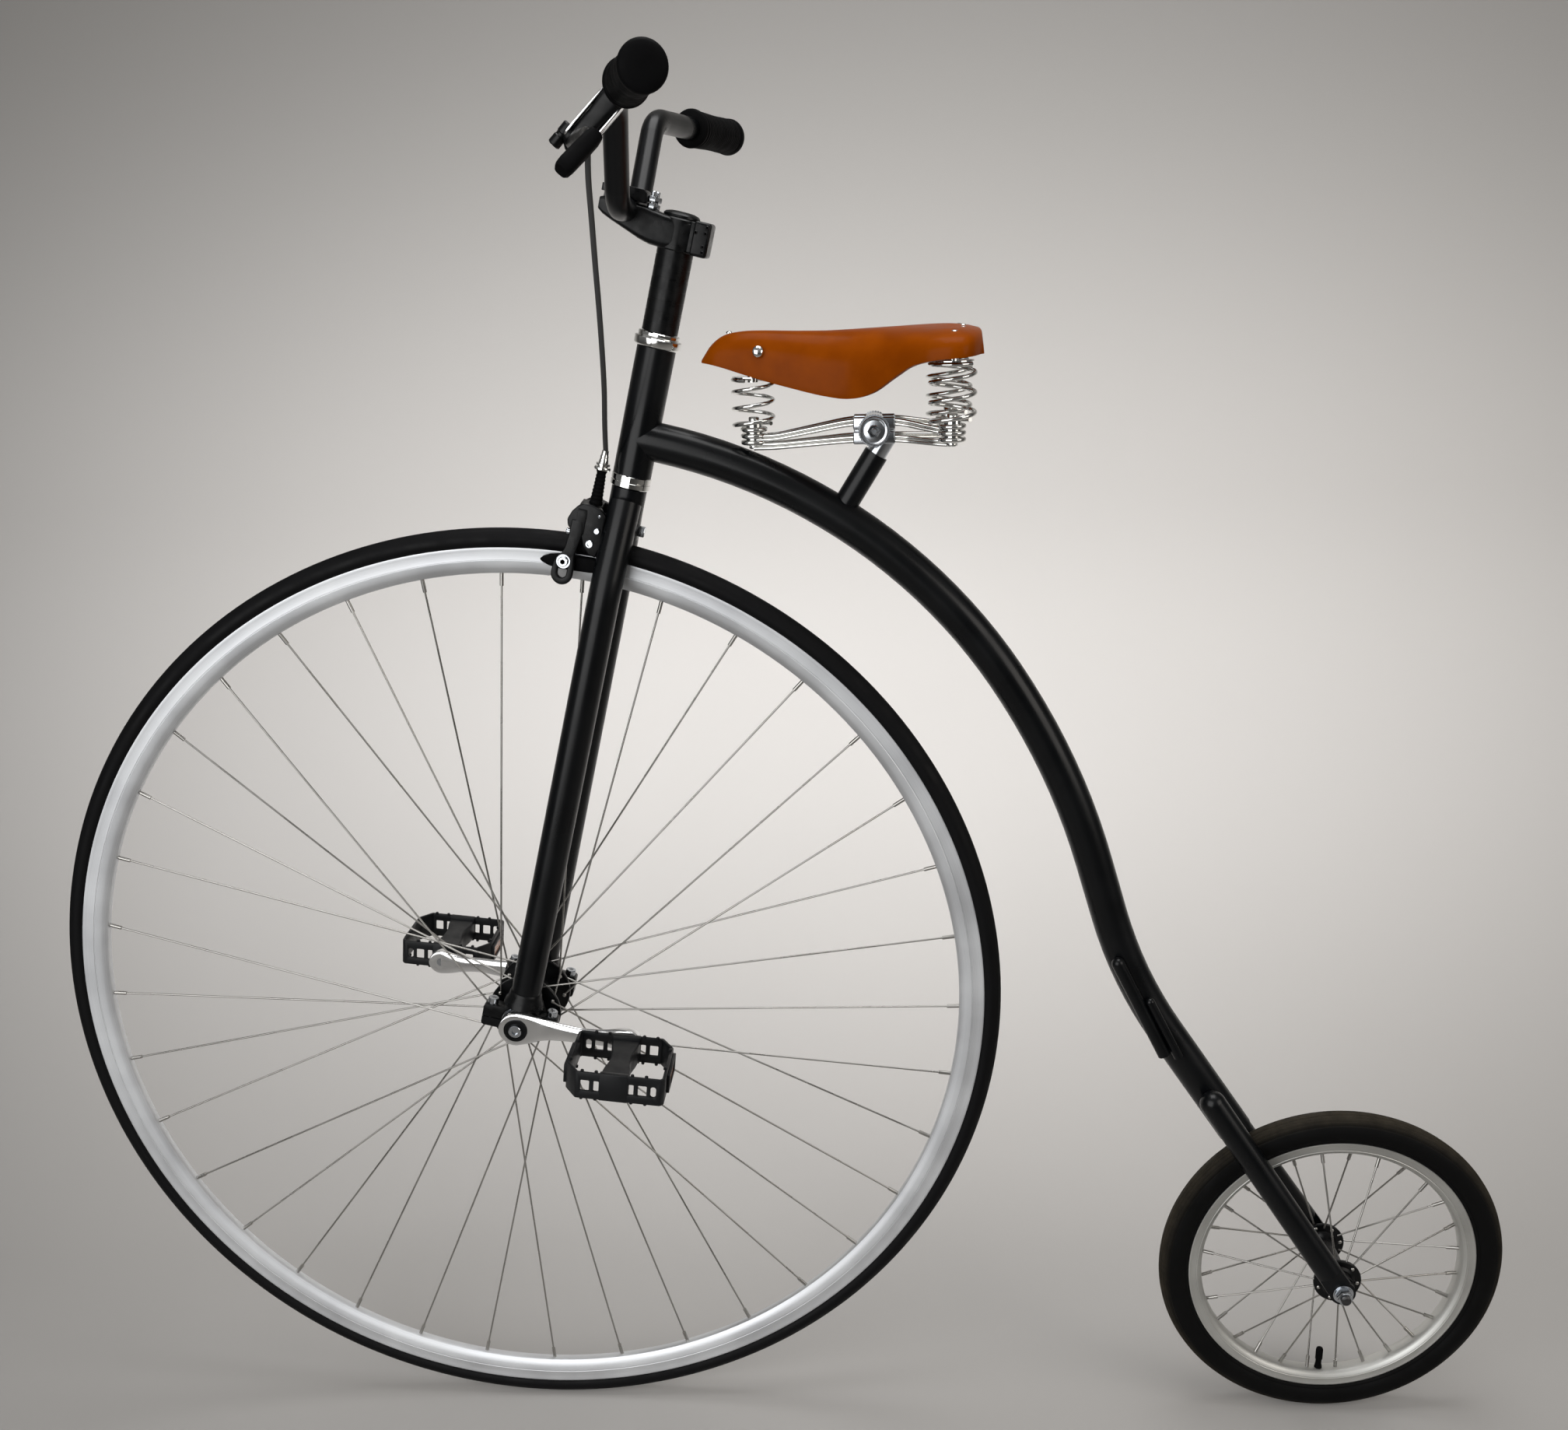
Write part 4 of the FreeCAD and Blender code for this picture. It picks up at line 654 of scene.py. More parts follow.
# %% Saddle rivets
stud = [(0, 2.2), (2.2, 2), (4.2, 1.2), (5, 0), (5, -1.5), (0, -1.5)]
rivets = [(turned(stud, 24), pointing((-0.1316, side * 0.0225, -0.0165), (0.05, side, 0.22))
    @ Matrix.Scale(1.1 * MM, 4)) for side in (-1, 1)]
for x, y, z, scale in ((-0.16, 0, 0.0005, 0.6), (0.061, 0, 0.0018, 0.7), (0.059, -0.042, 0.0012, 0.7),
        (0.059, 0.042, 0.0012, 0.7), (0.05, -0.076, -0.0008, 0.7), (0.05, 0.076, -0.0008, 0.7)):
    rivets.append((turned(stud, 20), moved(x, y, z) @ Matrix.Scale(scale * MM, 4)))
piece("saddle_rivets", rivets, chrome, "frame")

# %% [markdown]
# ## Grips
# Each grip is a soft rubber sleeve. A collar stops the thumb at its inner end, fine ribs run round
# it, and a domed disc closes it. All of that is round, so it is one outline spun about the bar.
# The bar's end and its direction are the fork's, in millimetres up from the front axle.

# %% Grips
bar_tip = Vector((-7, 342, 915.5))
bar_turn = Vector((-60, 126, 904.5))
grip_length = 124
ribs = 26
rib_pitch = 3.6


def bar_line(side):
    """Where the grip begins on one side of the bar, and the bar's direction there."""
    mirror = Vector((1, side, 1))
    along = ((bar_tip - bar_turn) * mirror).normalized()
    return bar_tip * mirror + along * (3 - grip_length), along


sleeve = [(11.1, 0), (17, 0), (18.8, 1), (19.2, 2.6), (18.8, 4.4), (17.4, 5.4), (16.9, 9), (18.4, 10.6),
    (18.4, 12.6), (17, 14.4)]
for rib in range(ribs):
    start = 16 + rib * rib_pitch
    waist = 17.4 + 0.3 * cos(2 * pi * rib / (ribs - 1))
    sleeve += [(waist - 0.45, start), (waist + 0.35, start + 0.9), (waist + 0.35, start + 2.5)]
sleeve += [(16.4, 110.5), (17.8, 112.5), (18.7, 115), (18.9, 119), (18.3, 121.6), (16.4, 123.2), (12, 124.4),
    (6, 124.9), (0, 125)]
grips = fixed(in_fork, *((turned([(0, 0)] + sleeve, 56), *bar_line(side)) for side in (-1, 1)))
piece("ribbed_grips", grips, grip_rubber, "steering", ["grips"], 50)

# %% [markdown]
# ## Brake lever
# One lever pulls the front brake. A hinged band grips the bar, a black body leans forward and down
# from it between two thin polished cheeks, and the blade runs out under the grip to a rubber end.

# %% Lever's band and body
start, along = bar_line(-1)
band_inset = 9
band_middle = start - along * band_inset
pivot = band_middle + Vector((-30, 0, -50))
down = (pivot - band_middle).normalized()
y_way = Vector((0, 1, 0))
sideways = down.cross(y_way).normalized()
band = turned([(11.1, -8), (14.4, -8), (15.2, -7), (15.2, 7), (14.4, 8), (11.1, 8)], 40)
boss = lathe([(6.2, -9.2), (7, -8.4), (7, 8.4), (6.2, 9.2)])
barrel = lathe([(3.6, 0), (4.2, 1), (4.2, 9), (3.2, 12)], 24)
bracket = fixed(in_fork, (band, band_middle, along), (boss, pivot, sideways),
    (barrel, band_middle + Vector((-24, 12, -31)), (0, 0, -1)))
# columns: distance down the body, half width ahead, half width across, squareness
body_form = [(8, 9.6, 7, 3), (18, 9.4, 7.4, 3.6), (34, 8.2, 7.2, 3.6), (48, 8.6, 7.5, 3.4), (60, 8.8, 7.2, 3),
    (66, 7, 6.4, 2.6), (68.5, 3.5, 4.4, 2.2)]
body = [(band_middle + down * far, sideways * wide, y_way * deep, square)
    for far, wide, deep, square in body_form]
bracket.append((skin(body, 28), in_fork))
piece("lever_body", bracket, black_alloy, "steering", ["brake_lever_bracket"])

# %% Lever's blade and cheeks
tip = pivot + Vector((9, -92, -25))
knee = pivot + Vector((23, -64, 3))
# columns: how far along, ahead and up from the pivot; half width, half thickness
blade_form = [(4, 0, 0, 6, 7), (-12, 2, -1, 7.6, 7.6), (-32, 9, 1, 7.8, 6.8), (-52, 18, 4, 7.6, 5.8),
    (-64, 22, 3, 7.2, 5.4), (-72, 19, -5, 6.6, 5.4)]
blade = [(pivot + Vector((x, y, z)), sideways * wide, down * thick, 3) for y, x, z, wide, thick in blade_form]
piece("lever_blade", [(skin(blade, 28), in_fork)], black_alloy, "steering")
cheek_outline = ([(-4.5, -48), (4.5, -48), (6, -30), (7.6, -12)] + arc(0, -4, 7.6, 0, 180, 10)
    + [(-7.6, -12), (-6, -30)])
knob = turned([(0, 0), (4.4, 0), (4.4, 1.6), (3.6, 2.6), (0, 2.8)], 20)
lever = []
for edge in (-1, 1):
    spot = Matrix((y_way, sideways, down)).transposed().to_4x4()
    spot.translation = band_middle + down * 59 + sideways * edge * 9.9
    lever.append((soften(cut_out(cheek_outline, 1.9), 0.4), in_fork @ spot))
    lever += fixed(in_fork, (knob, pivot + sideways * edge * 10.6, sideways * edge))
piece("lever_cheeks", lever, polished_alloy, "steering", ["brake_lever"])

# %% Lever's rubber end and cable screw
run = (tip - knee).normalized()
flat = run.cross(y_way).normalized()
rise = flat.cross(run).normalized()
# columns: share of the way, half width, half thickness
rubber_form = [(-0.16, 4.4, 4.1), (-0.12, 6, 5.7), (0, 6.8, 6.5), (0.3, 7.2, 6.9), (0.8, 7.2, 6.9),
    (0.93, 6.7, 6.4), (0.99, 5.3, 5), (1, 3.8, 3.6)]
rubber = [(knee + run * (tip - knee).length * share, flat * wide, rise * thick, 3)
    for share, wide, thick in rubber_form]
piece("lever_rubber", [(skin(rubber, 32), in_fork)], grip_rubber, "steering", ["brake_lever_tip"])
adjuster = lathe([(4.4, 0), (5.2, 1), (5.2, 9), (4.6, 9.8), (4.6, 12), (5.2, 12.8), (5.2, 20), (4.2, 21)], 28)
ahead_way = sideways if sideways.x < 0 else -sideways
piece("lever_adjuster", fixed(in_fork, (adjuster, pivot + ahead_way * 12 - down * 6, down)), black_alloy,
    "steering")

# %% [markdown]
# ## Stem
# The stem is a forged black block. It clamps the steerer from behind with a square plate and two
# bolts, slopes up to the bar, and holds the bar under a cap with four screws. Its cross-sections
# are rounded boxes, so a skin bridged over them gives the forging's soft edges.

# %% Stem
stem_low, stem_high = span("stem", in_fork)
foot = stem_low.z
crest = foot + 29
bar_level = foot + 25.5
reach = 50.6
half = (stem_high.y - stem_low.y) / 2
# columns: distance ahead, low and high level from the stem's foot, half width, squareness
arm_form = [(-12, 0.6, 28.4, 17.5, 5), (-6, 0, 29, 19, 5), (14, 0, 29.6, 19, 6), (24, 0.4, 31, 19, 6),
    (34, 3, 32.6, 19, 7), (62, 13.2, 33.2, 19, 7), (71, 16.8, 33.2, 18.6, 6), (75.5, 20, 31.6, 17.6, 5)]
arm = [(Vector((-ahead, 0, foot + (low + high) / 2)), Vector((0, wide, 0)), Vector((0, 0, (high - low) / 2)),
    square) for ahead, low, high, wide, square in arm_form]
ring = turned([(14.4, 0), (18, 0), (19.2, 1.2), (19.2, 27.8), (18, 29), (14.4, 29)], 56)
stem_parts = [(skin(arm, 48), in_fork), (ring, in_fork @ moved(z=foot)),
    (block((11, -18.4, foot + 0.6), (19.2, 18.4, crest), 2, 4), in_fork),
    (block((14.5, -19.6, foot - 0.4), (31, 19.6, foot + 30.6), 3, 5), in_fork)]
dimple = socket_screw(1.9, 0.7, 1.1)
for behind, level_at in ((17.4, 20.4), (27, 26.4), (26.4, 21), (26, 9.2), (26.6, 4.2)):
    for side in (-1, 1):
        stem_parts += fixed(in_fork, (dimple, (behind, side * 19.4, foot + level_at), (0, side, 0)))
piece("stem_forging", stem_parts, black_alloy, "steering", ["stem"])

# %% Stem's cap, lid and screws
cap_outline = ([(-75, 11.2), (-66, 11.2), (-64, 8.8)] + arc(-reach, 0, 11.3, 129, 51, 12)
    + [(-37, 8.8), (-34, 8.8), (-31.6, 12), (-33.2, 17.6), (-36.6, 20.2), (-60, 20.2), (-64.5, 18.4),
    (-75, 18)])
saddle_cap = plate([(x, bar_level + z) for x, z in cap_outline], -half + 0.4, half - 0.4)
piece("stem_saddle_cap", [(soften(saddle_cap, 1.6, 3), in_fork)], black_alloy, "steering", ["stem_cap"])
lid = turned([(0, 0), (16.8, 0), (17.4, 0.8), (17.2, 2.6), (15.4, 4.4), (11, 5.6), (6, 6), (5, 5.4),
    (0, 5.2)], 56)
piece("stem_top_lid", [(lid, in_fork @ moved(z=crest))], black_alloy, "steering", ["stem_lid"])
screws = []
shank = lathe([(2.5, -1), (2.5, 15), (1.9, 15.8)], 20)
neck = lathe([(3.4, -1), (3.4, 4.6)], 20)
for across_at in (-12.6, 12.6):
    rear_spot = in_fork @ moved(-27.6, across_at, foot + 30.8)
    front_spot = in_fork @ moved(-69.6, across_at, bar_level + 7.4)
    screws += [(shank, rear_spot), (hex_nut(7.6, 4.6), rear_spot), (hex_nut(8.6, 5), rear_spot @ moved(z=6)),
        (neck, front_spot), (socket_screw(3.6, 2.6, 1.9), front_spot @ moved(z=10.6))]
piece("stem_screws", screws, zinc, "steering", ["stem_bolts"])

# %% [markdown]
# ## Headset and spacers
# The bearings of the steering head sit in two polished rings, each turned from bar on a lathe: a
# plain one under the head tube, and a wider, stepped one on it. Small chamfers catch the light.

# %% Headset rings
lower_ring = turned([(14.4, 570.2), (18.6, 570.2), (19.5, 571), (19.5, 575.4), (19, 575.9), (19, 576.5),
    (19.5, 577), (19.5, 581.4), (18.8, 582), (14.4, 582)], 64)
upper_ring = turned([(14.4, 704), (19.4, 704), (22, 705.4), (22.6, 706.4), (22.6, 712.4), (21.9, 713.2),
    (19.6, 713.6), (19.4, 714.2), (19.9, 714.8), (19.9, 717.2), (19.2, 718), (14.4, 718)], 64)
piece("polished_head_rings", [(lower_ring, in_fork), (upper_ring, in_fork)], chrome, "frame",
    ["headset_rings"])

# %% [markdown]
# ## Brake cable's lower end
# The housing stops in a ferrule with a knurled nut, which sets the cable's tension. Below it a
# pleated rubber boot keeps water off the bare wire.

# %% Ferrule and boot
end_low, end_high = span("cable_adjuster", in_fork)
cable_foot = moved((end_low.x + end_high.x) / 2, (end_low.y + end_high.y) / 2, end_low.z)
rise = end_high.z - end_low.z
ferrule = [(0, -2), (6.4, -2), (8, -1.4), (8.2, 0), (7.6, 1.2), (5.2, 1.6), (5.2, 2.4), (6.8, 2.8),
    (6.8, 4.6), (4.8, 5), (4.4, 8), (3.9, 10), (4.2, 10.6), (3.6, 13), (3.3, rise), (2.55, rise)]
piece("cable_ferrule", [(turned(ferrule + [(2.55, 4), (0, 4)], 36), in_fork @ cable_foot)], chrome,
    "steering", ["cable_adjuster"])
pleat_pitch = 3.6
pleats = [(0, -36), (6.4, -36), (6.8, -34.5)]
for pleat in range(8):
    level_at = -33 + pleat * pleat_pitch
    swell = 6.3 - 0.18 * pleat
    pleats += [(swell, level_at), (swell - 0.7, level_at + pleat_pitch / 2)]
pleats += [(4.9, -4), (5.4, -3), (5.4, -1.4), (0, -1.4)]
piece("cable_gaiter", [(turned(pleats, 32), in_fork @ cable_foot)], grip_rubber, "steering", ["cable_boot"])

# %% [markdown]
# ## Brake caliper
# Two forged arms turn on one bolt through the fork's crown. Each reaches out beside the tyre and
# down to a slotted foot, where a nut clamps the pad at the height of the rim. Plates cut from flat
# outlines and softened give the arms; the left one lies ahead of the right one at the bolt.

# %% Caliper arms
pivot_level = 530
foot_ahead = 46.5
pad_level = 486.3
leg_outline = ([(-35, 532), (-46, 531), (-46.4, 516), (-48, 502), (-50.5, 496), (-56, 488), (-57.3, 478)]
    + arc(-foot_ahead, 476, 10.8, 180, 360, 16) + [(-35.9, 486), (-37, 497), (-34.6, 510), (-33, 520)])
body_outline = [(-43, 544.5), (-47.6, 538.5), (-50.8, 530), (-49.4, 524), (-45, 519.5), (-34, 515),
    (-31, 507), (-25, 500.5), (-17, 498.5), (-14, 510), (-14, 540), (-20, 546), (-29, 548.5), (-38, 548)]
slot_outline = arc(-foot_ahead, pad_level + 1.5, 4.4, 0, 180, 10) + arc(-foot_ahead, 476.5, 4.4, 180, 360, 10)


def caliper_arm(ahead, side):
    """One arm, its bridge beginning at a distance ahead of the steering axis."""
    leg = soften(plate(leg_outline, 22, 28, [slot_outline]), 1.3, 3, 40)
    band_outline = (arc(0, pivot_level, 12, 200, 300, 8) + [(18, pivot_level - 13), (27.6, pivot_level - 12),
        (28, pivot_level + 4)] + arc(19, pivot_level + 8, 9, 0, 90, 6)
        + [(4, pivot_level + 19), (-8, pivot_level + 13)])
    band = soften(plate(band_outline, 0, 9), 1.4, 3, 40)
    quarter = moved(-ahead) @ Matrix(((0, -1, 0, 0), (1, 0, 0, 0), (0, 0, 1, 0), (0, 0, 0, 1)))
    elbow = soften(plate(body_outline, 17.8, 26.6), 2.2, 4, 20)
    arm = gathered([(leg, Matrix()), (band, quarter), (elbow, Matrix())])
    return arm if side > 0 else flipped(arm)


for name, ahead, side in (("right", 23, 1), ("left", 32.6, -1)):
    piece("forged_caliper_arm_" + name, [(caliper_arm(ahead, side), in_fork)], black_alloy, "steering",
        ["caliper_arm_" + name])

# %% [markdown]
# The pads are moulded rubber blocks with a pointed nose. Washers, domed nuts and socket screws hold
# them and the arms, all bright zinc against the black.

# %% Pads and caliper screws
rim_radius = 488.5
lean = asin(foot_ahead / rim_radius)
at_pad = in_fork @ moved(-foot_ahead, 0, pad_level) @ Matrix.Rotation(-lean, 4, "Y")
behind_nut = moved(5)
# columns: along the rim, half height
pad_form = [(-29.5, 0.8), (-27.5, 2.8), (-21, 5.6), (-12, 7.2), (0, 7.6), (20, 7.6), (27, 7), (29, 5)]
shoe = skin([((along_at, 15.6, 0), (0, 4.5, 0), (0, 0, high), 4) for along_at, high in pad_form], 28)
shoes = [(shoe, at_pad @ behind_nut), (flipped(shoe), at_pad @ behind_nut)]
piece("brake_shoes", shoes, grip_rubber, "steering", ["brake_pads"])

# %% Bolts, nuts and screws of the caliper
ahead_x = (-1, 0, 0)
dot_screw = socket_screw(1.5, 0.9, 0.9)
fixings = fixed(in_fork, (turned([(0, -17), (3, -17), (3, 47), (0, 48)], 24), (0, 0, pivot_level), ahead_x),
    (hex_nut(10, 5), (-41.8, 0, pivot_level), ahead_x), (hex_nut(10, 6), (17.2, 0, pivot_level), (1, 0, 0)))
for side in (-1, 1):
    y_out = (0, side, 0)
    at_nut = at_pad @ pointing((0, side * 28, 2.5), y_out)
    fixings += [(lathe([(6.9, 0), (7.2, 0.6), (6.8, 1.4)], 36), at_nut),
        (lathe([(3.4, -12), (3.4, 0)], 20), at_nut), (socket_screw(5, 4, 2.6), at_nut @ moved(z=1.2))]
    fixings += fixed(in_fork, (socket_screw(3.2, 3.6, 1.8), (-46.2, side * 24, 518), ahead_x),
        (socket_screw(3.9, 3.2, 2.2), (-25, side * 26.4, 511), y_out),
        (lathe([(3, 0), (3, 3.4), (2.4, 4.2)], 20), (-20, side * 26.2, 525), y_out),
        (dot_screw, (-37, side * 26.5, 540), y_out), (dot_screw, (-20.5, side * 26.5, 539), y_out))
piece("caliper_fixings", fixings, zinc, "steering", ["brake_bolts"])
drum = lathe([(9, 17), (9, 22), (13, 22.6), (13, 26)])
piece("caliper_spring_seat", fixed(in_fork, (drum, (0, 0, pivot_level), ahead_x)), black_alloy, "steering")

# %% [markdown]
# ## Bearing blocks
# Each blade ends in a split block: an arch welded to the blade, and a cap that two socket screws
# draw up to it round the axle's bearing. The outlines are half circles with ears.

# %% Bearing blocks, caps and screws
arch = ([(-19.2, 0.5), (-40, 0.5), (-40, 11)] + arc(-37, 11, 3, 180, 90, 4) + [(-20, 14)]
    + arc(0, 0, 23, 140, 40, 18) + [(20, 14)] + arc(37, 11, 3, 90, 0, 4) + [(40, 0.5), (19.2, 0.5)]
    + arc(0, 0, 19.1, 2, 178, 24))
under = ([(19.2, -0.5), (40, -0.5), (40, -7)] + arc(37, -7, 3, 0, -90, 4) + [(22, -10)]
    + arc(0, 0, 23, -28, -152, 20) + [(-22, -10)] + arc(-37, -7, 3, -90, -180, 4)
    + [(-40, -0.5), (-19.2, -0.5)] + arc(0, 0, 19.1, 182, 358, 24))
collar = turned([(15.9, 18), (21.6, 18), (20.4, 23), (18.2, 27), (17.4, 31), (16.6, 33.6), (15.9, 34.4)], 48)
blade_at = 55
block_half = 7.5
shank = lathe([(3.2, -12.5), (4, -11.8), (4, 0)], 24)
arches, caps, clamps = [], [], []
for side in (-1, 1):
    middle_at = side * blade_at
    faces = (middle_at - block_half, middle_at + block_half)
    arches += [(soften(plate(arch, *faces), 0.9, 2, 40), in_fork), (collar, in_fork @ moved(y=side * 50))]
    caps.append((soften(plate(under, *faces), 0.9, 2, 40), in_fork))
    for end in (-32, 32):
        clamps += [(socket_screw(5.6, 6.5, 3), in_fork @ moved(end, middle_at, 14)),
            (shank, in_fork @ moved(end, middle_at))]
piece("bearing_arches", arches, black_alloy, "steering", ["bearing_blocks"])
piece("bearing_undercaps", caps, black_alloy, "steering", ["bearing_caps"])
piece("bearing_screws", clamps, zinc, "steering", ["bearing_bolts"])

# %% [markdown]
# ## Cranks
# A crank is forged from one bar of alloy and polished. Its sections are rounded boxes that narrow
# from the boss, set outwards, and swell again into the eye for the pedal. The two round ends come
# from sections whose width follows a circle.

# %% Cranks
crank_length = 122
# columns: distance out, middle above the line, half height, inner and outer face, squareness
crank_form = [(0, 0, 18.5, 67.5, 79, 9), (13, 0.6, 16.2, 68.6, 79.4, 6), (28, 1.8, 12.6, 72.4, 81, 3),
    (50, 1.6, 10, 76, 84.4, 2.2), (76, 0.2, 8.8, 79, 87.4, 2.1), (97, 1.6, 9.6, 82.2, 91.6, 2.4),
    (112, 2.2, 12.4, 84.4, 95.8, 4), (122, 1, 14, 85, 97, 7)]


def crank_section(out, rise_at, high, near, far, square):
    """One rounded box across the crank."""
    return ((out, (near + far) / 2, rise_at), (0, (far - near) / 2, 0), (0, 0, high), square)


boss_radius = 18.5
eye_radius = 14
share_rows = [(row[0] / crank_length, *row[1:]) for row in crank_form]
sections = []
for step in range(1, 10):
    turn_by = radians(step * 9)
    sections.append(crank_section(-boss_radius * cos(turn_by), 0, boss_radius * sin(turn_by), 67.5, 79, 9))
for step in range(33):
    sections.append(crank_section(crank_length * step / 32, *along_table(share_rows, min(step / 32, 0.9999))))
for step in range(9, 0, -1):
    turn_by = radians(step * 9)
    out = crank_length + eye_radius * cos(turn_by)
    sections.append(crank_section(out, 1, eye_radius * sin(turn_by), 85, 97, 7))
crank_turn = radians(-3.5)
axis_y = pointing((0, 0, 0), (0, 1, 0))


def on_cranks(shape):
    """A shape of the right crank, and its mirror image on the left one."""
    return [(flipped(shape), at_front_axle @ Matrix.Rotation(-crank_turn, 4, "Y")),
        (shape, at_front_axle @ Matrix.Rotation(pi - crank_turn, 4, "Y"))]


piece("forged_cranks", on_cranks(skin(sections, 40)), polished_alloy, "front_wheel", ["cranks"], 50)
washer = lathe([(12.6, 79), (12.6, 80.2), (11.8, 80.8), (9.4, 80.8), (8.8, 80.2)], 40)
piece("crank_washers", on_cranks(gathered([(washer, axis_y)])), black_alloy, "front_wheel")
screw = gathered([(socket_screw(6.8, 3.4, 3.6), axis_y @ moved(z=80))])
piece("crank_screws", on_cranks(screw), zinc, "front_wheel", ["crank_bolts"])

# %% [markdown]
# ## Pedals
# Each pedal is one moulding: an open cage with three slots on each side of its walls, cut corners,
# a waisted spine that carries the spindle, and small studs that grip the shoe. It is built lying
# level on the right side, from plates cut out and stood on edge, and then tilted on its spindle.

# %% A wall of the cage
cage_half = 50.5
cage_near = 102
cage_far = 194
cage_high = 14.5
wall = 3.2
lying = Matrix.Rotation(pi / 2, 4, "X")


def rounded_hole(x, z, half_x, half_z, corner_radius):
    """An oblong hole with round corners."""
    corners = [(half_x, half_z, 0), (-half_x, half_z, 90), (-half_x, -half_z, 180), (half_x, -half_z, 270)]
    points = []
    for far_x, far_z, start_deg in corners:
        centre_x = x + far_x - copysign(corner_radius, far_x)
        centre_z = z + far_z - copysign(corner_radius, far_z)
        points += arc(centre_x, centre_z, corner_radius, start_deg, start_deg + 90, 4)
    return points


def stood(x0, y0, x1, y1, holes):
    """A wall of the cage between two corners of its plan, its outer face on the line."""
    long = hypot(x1 - x0, y1 - y0)
    outline = [(0, -cage_high), (long, -cage_high), (long, cage_high), (0, cage_high)]
    wall_shape = soften(plate(outline, 0, wall, [rounded_hole(*hole) for hole in holes]), 0.9, 2, 40)
    return wall_shape, moved(x0, y0, 0) @ Matrix.Rotation(atan2(y1 - y0, x1 - x0), 4, "Z")


# %% Cage walls and spine
# the short wall leaves out the end that the oblique corner takes
long_end, short_end = 47, 38
bars = [(17.4, 2.6, 5.6, 1), (28.7, 4.3, 5.6, 1), (39.6, 2.8, 5.6, 2.6)]
long_wall = [(long_end + side * middle_at, 0, half_x, half_z, round_at) for side in (-1, 1)
    for middle_at, half_x, half_z, round_at in bars[:3 if side < 0 else 2]]
corner_cut = 19
corners = [(-long_end, cage_near), (short_end, cage_near), (cage_half, cage_near + corner_cut),
    (cage_half, cage_far - 4), (long_end, cage_far), (-short_end, cage_far),
    (-cage_half, cage_far - corner_cut), (-cage_half, cage_near + 4)]
cage = []
for index, (here, there) in enumerate(zip(corners, corners[1:] + corners[:1])):
    cage.append(stood(*here, *there, long_wall if index in (0, 4) else []))
waist_side = [(14.4, -109), (13, -124), (10.4, -138), (10, -148), (10.4, -158), (13, -172), (14.4, -187),
    (13.8, 1 - cage_far)]
waist = ([(-x, y) for x, y in waist_side] + waist_side[::-1] + [(13.8, -cage_near - 1),
    (-13.8, -cage_near - 1)])
cage.append((soften(plate(waist, -11.6, 11.6), 1.6, 3, 40), lying))
for y_spine in (cage_near + 3, cage_far - 3):
    cage.append((block((-14.5, y_spine - 3.4, -cage_high - 0.4), (14.5, y_spine + 3.4, cage_high + 0.4), 1.2),
        Matrix()))
sleeve_end = turned([(4.9, 98.4), (8.6, 98.4), (9.6, 99.4), (10.2, 103), (10.2, 112), (4.9, 112)], 36)
cage.append((sleeve_end, axis_y))

# %% Studs, reflector frames and the finished pedals
stud = turned([(0, -1), (1.9, -1), (1.7, 1.4), (1.2, 1.9), (0, 2)], 12)
stud_spots = [(x, y) for y in (cage_near + 2.6, cage_far - 2.6) for x in (-32, -18, 18, 32)]
stud_spots += [(x, y) for x in (-47.6, 47.6) for y in (128, 168)]
for level_way in (-1, 1):
    for x, y in stud_spots:
        cage += fixed(Matrix(), (stud, (x, y, level_way * cage_high), (0, 0, level_way)))
for end in (-1, 1):
    holder = plate([(-25, -10), (25, -10), (25, 10), (-25, 10)], -0.5, 3,
        [rounded_hole(0, 0, 21.2, 6.7, 0.6)])
    stand = moved(end * cage_half, 148) @ Matrix.Rotation(-end * pi / 2, 4, "Z")
    cage.append((soften(holder, 0.6, 2, 40), stand))
moulding = gathered(cage)
pedal_tilt = radians(6.5)
for name, moulded in (("left", flipped(moulding)), ("right", moulding)):
    spindle_at = middle("pedal_" + name)
    at_pedal = moved(spindle_at.x, 0, spindle_at.z) @ Matrix.Rotation(pedal_tilt, 4, "Y") @ upright
    piece("moulded_pedal_" + name, [(moulded, at_pedal)], black_plastic, "pedal_" + name, ["pedal_" + name])

# %% [markdown]
# ## Hubs
# The hubs are turned and anodised black. A round barrel swells into two flanges, and each spoke's
# head sits in a hole near the flange's edge as a bright dome, on the outer face for one spoke and
# on the inner face for the next.

# %% Hubs and spoke heads
def hub_shape(barrel, flange, half_spread, end, bore):
    """A hub's outline, turned about its axle."""
    inner, outer = half_spread - 2.2, half_spread + 2.2
    side = [(barrel, inner - 9), (barrel + 1.4, inner - 3), (flange - 9, inner), (flange - 1, inner),
        (flange, inner + 1), (flange, outer - 1), (flange - 1, outer), (barrel + 6, outer),
        (barrel + 3.4, outer + 2), (barrel + 2.6, end - 0.8), (barrel + 1.8, end)]
    outline = [(bore, -end)] + [(radius, -along_at) for radius, along_at in reversed(side)]
    return turned(outline + side + [(bore, end)], 72)


def spoke_heads(count, phase, first_side, crossing_deg, circle, half_spread):
    """A dome for each spoke, on the flange's other face from its wire."""
    dome = turned([(0, -0.6), (2.3, -0.6), (2.2, 0.5), (1.4, 1.3), (0, 1.6)], 12)
    heads = []
    for index in range(count):
        side = first_side if index % 2 == 0 else -first_side
        ahead = 1 if (index // 2) % 2 == 0 else -1
        angle = 2 * pi / count * (index + phase) + radians(crossing_deg) * ahead
        out = -side * ahead
        face = side * half_spread + out * 2.2
        heads += fixed(Matrix(), (dome, (circle * cos(angle), face, circle * sin(angle)), (0, out, 0)))
    return gathered(heads)


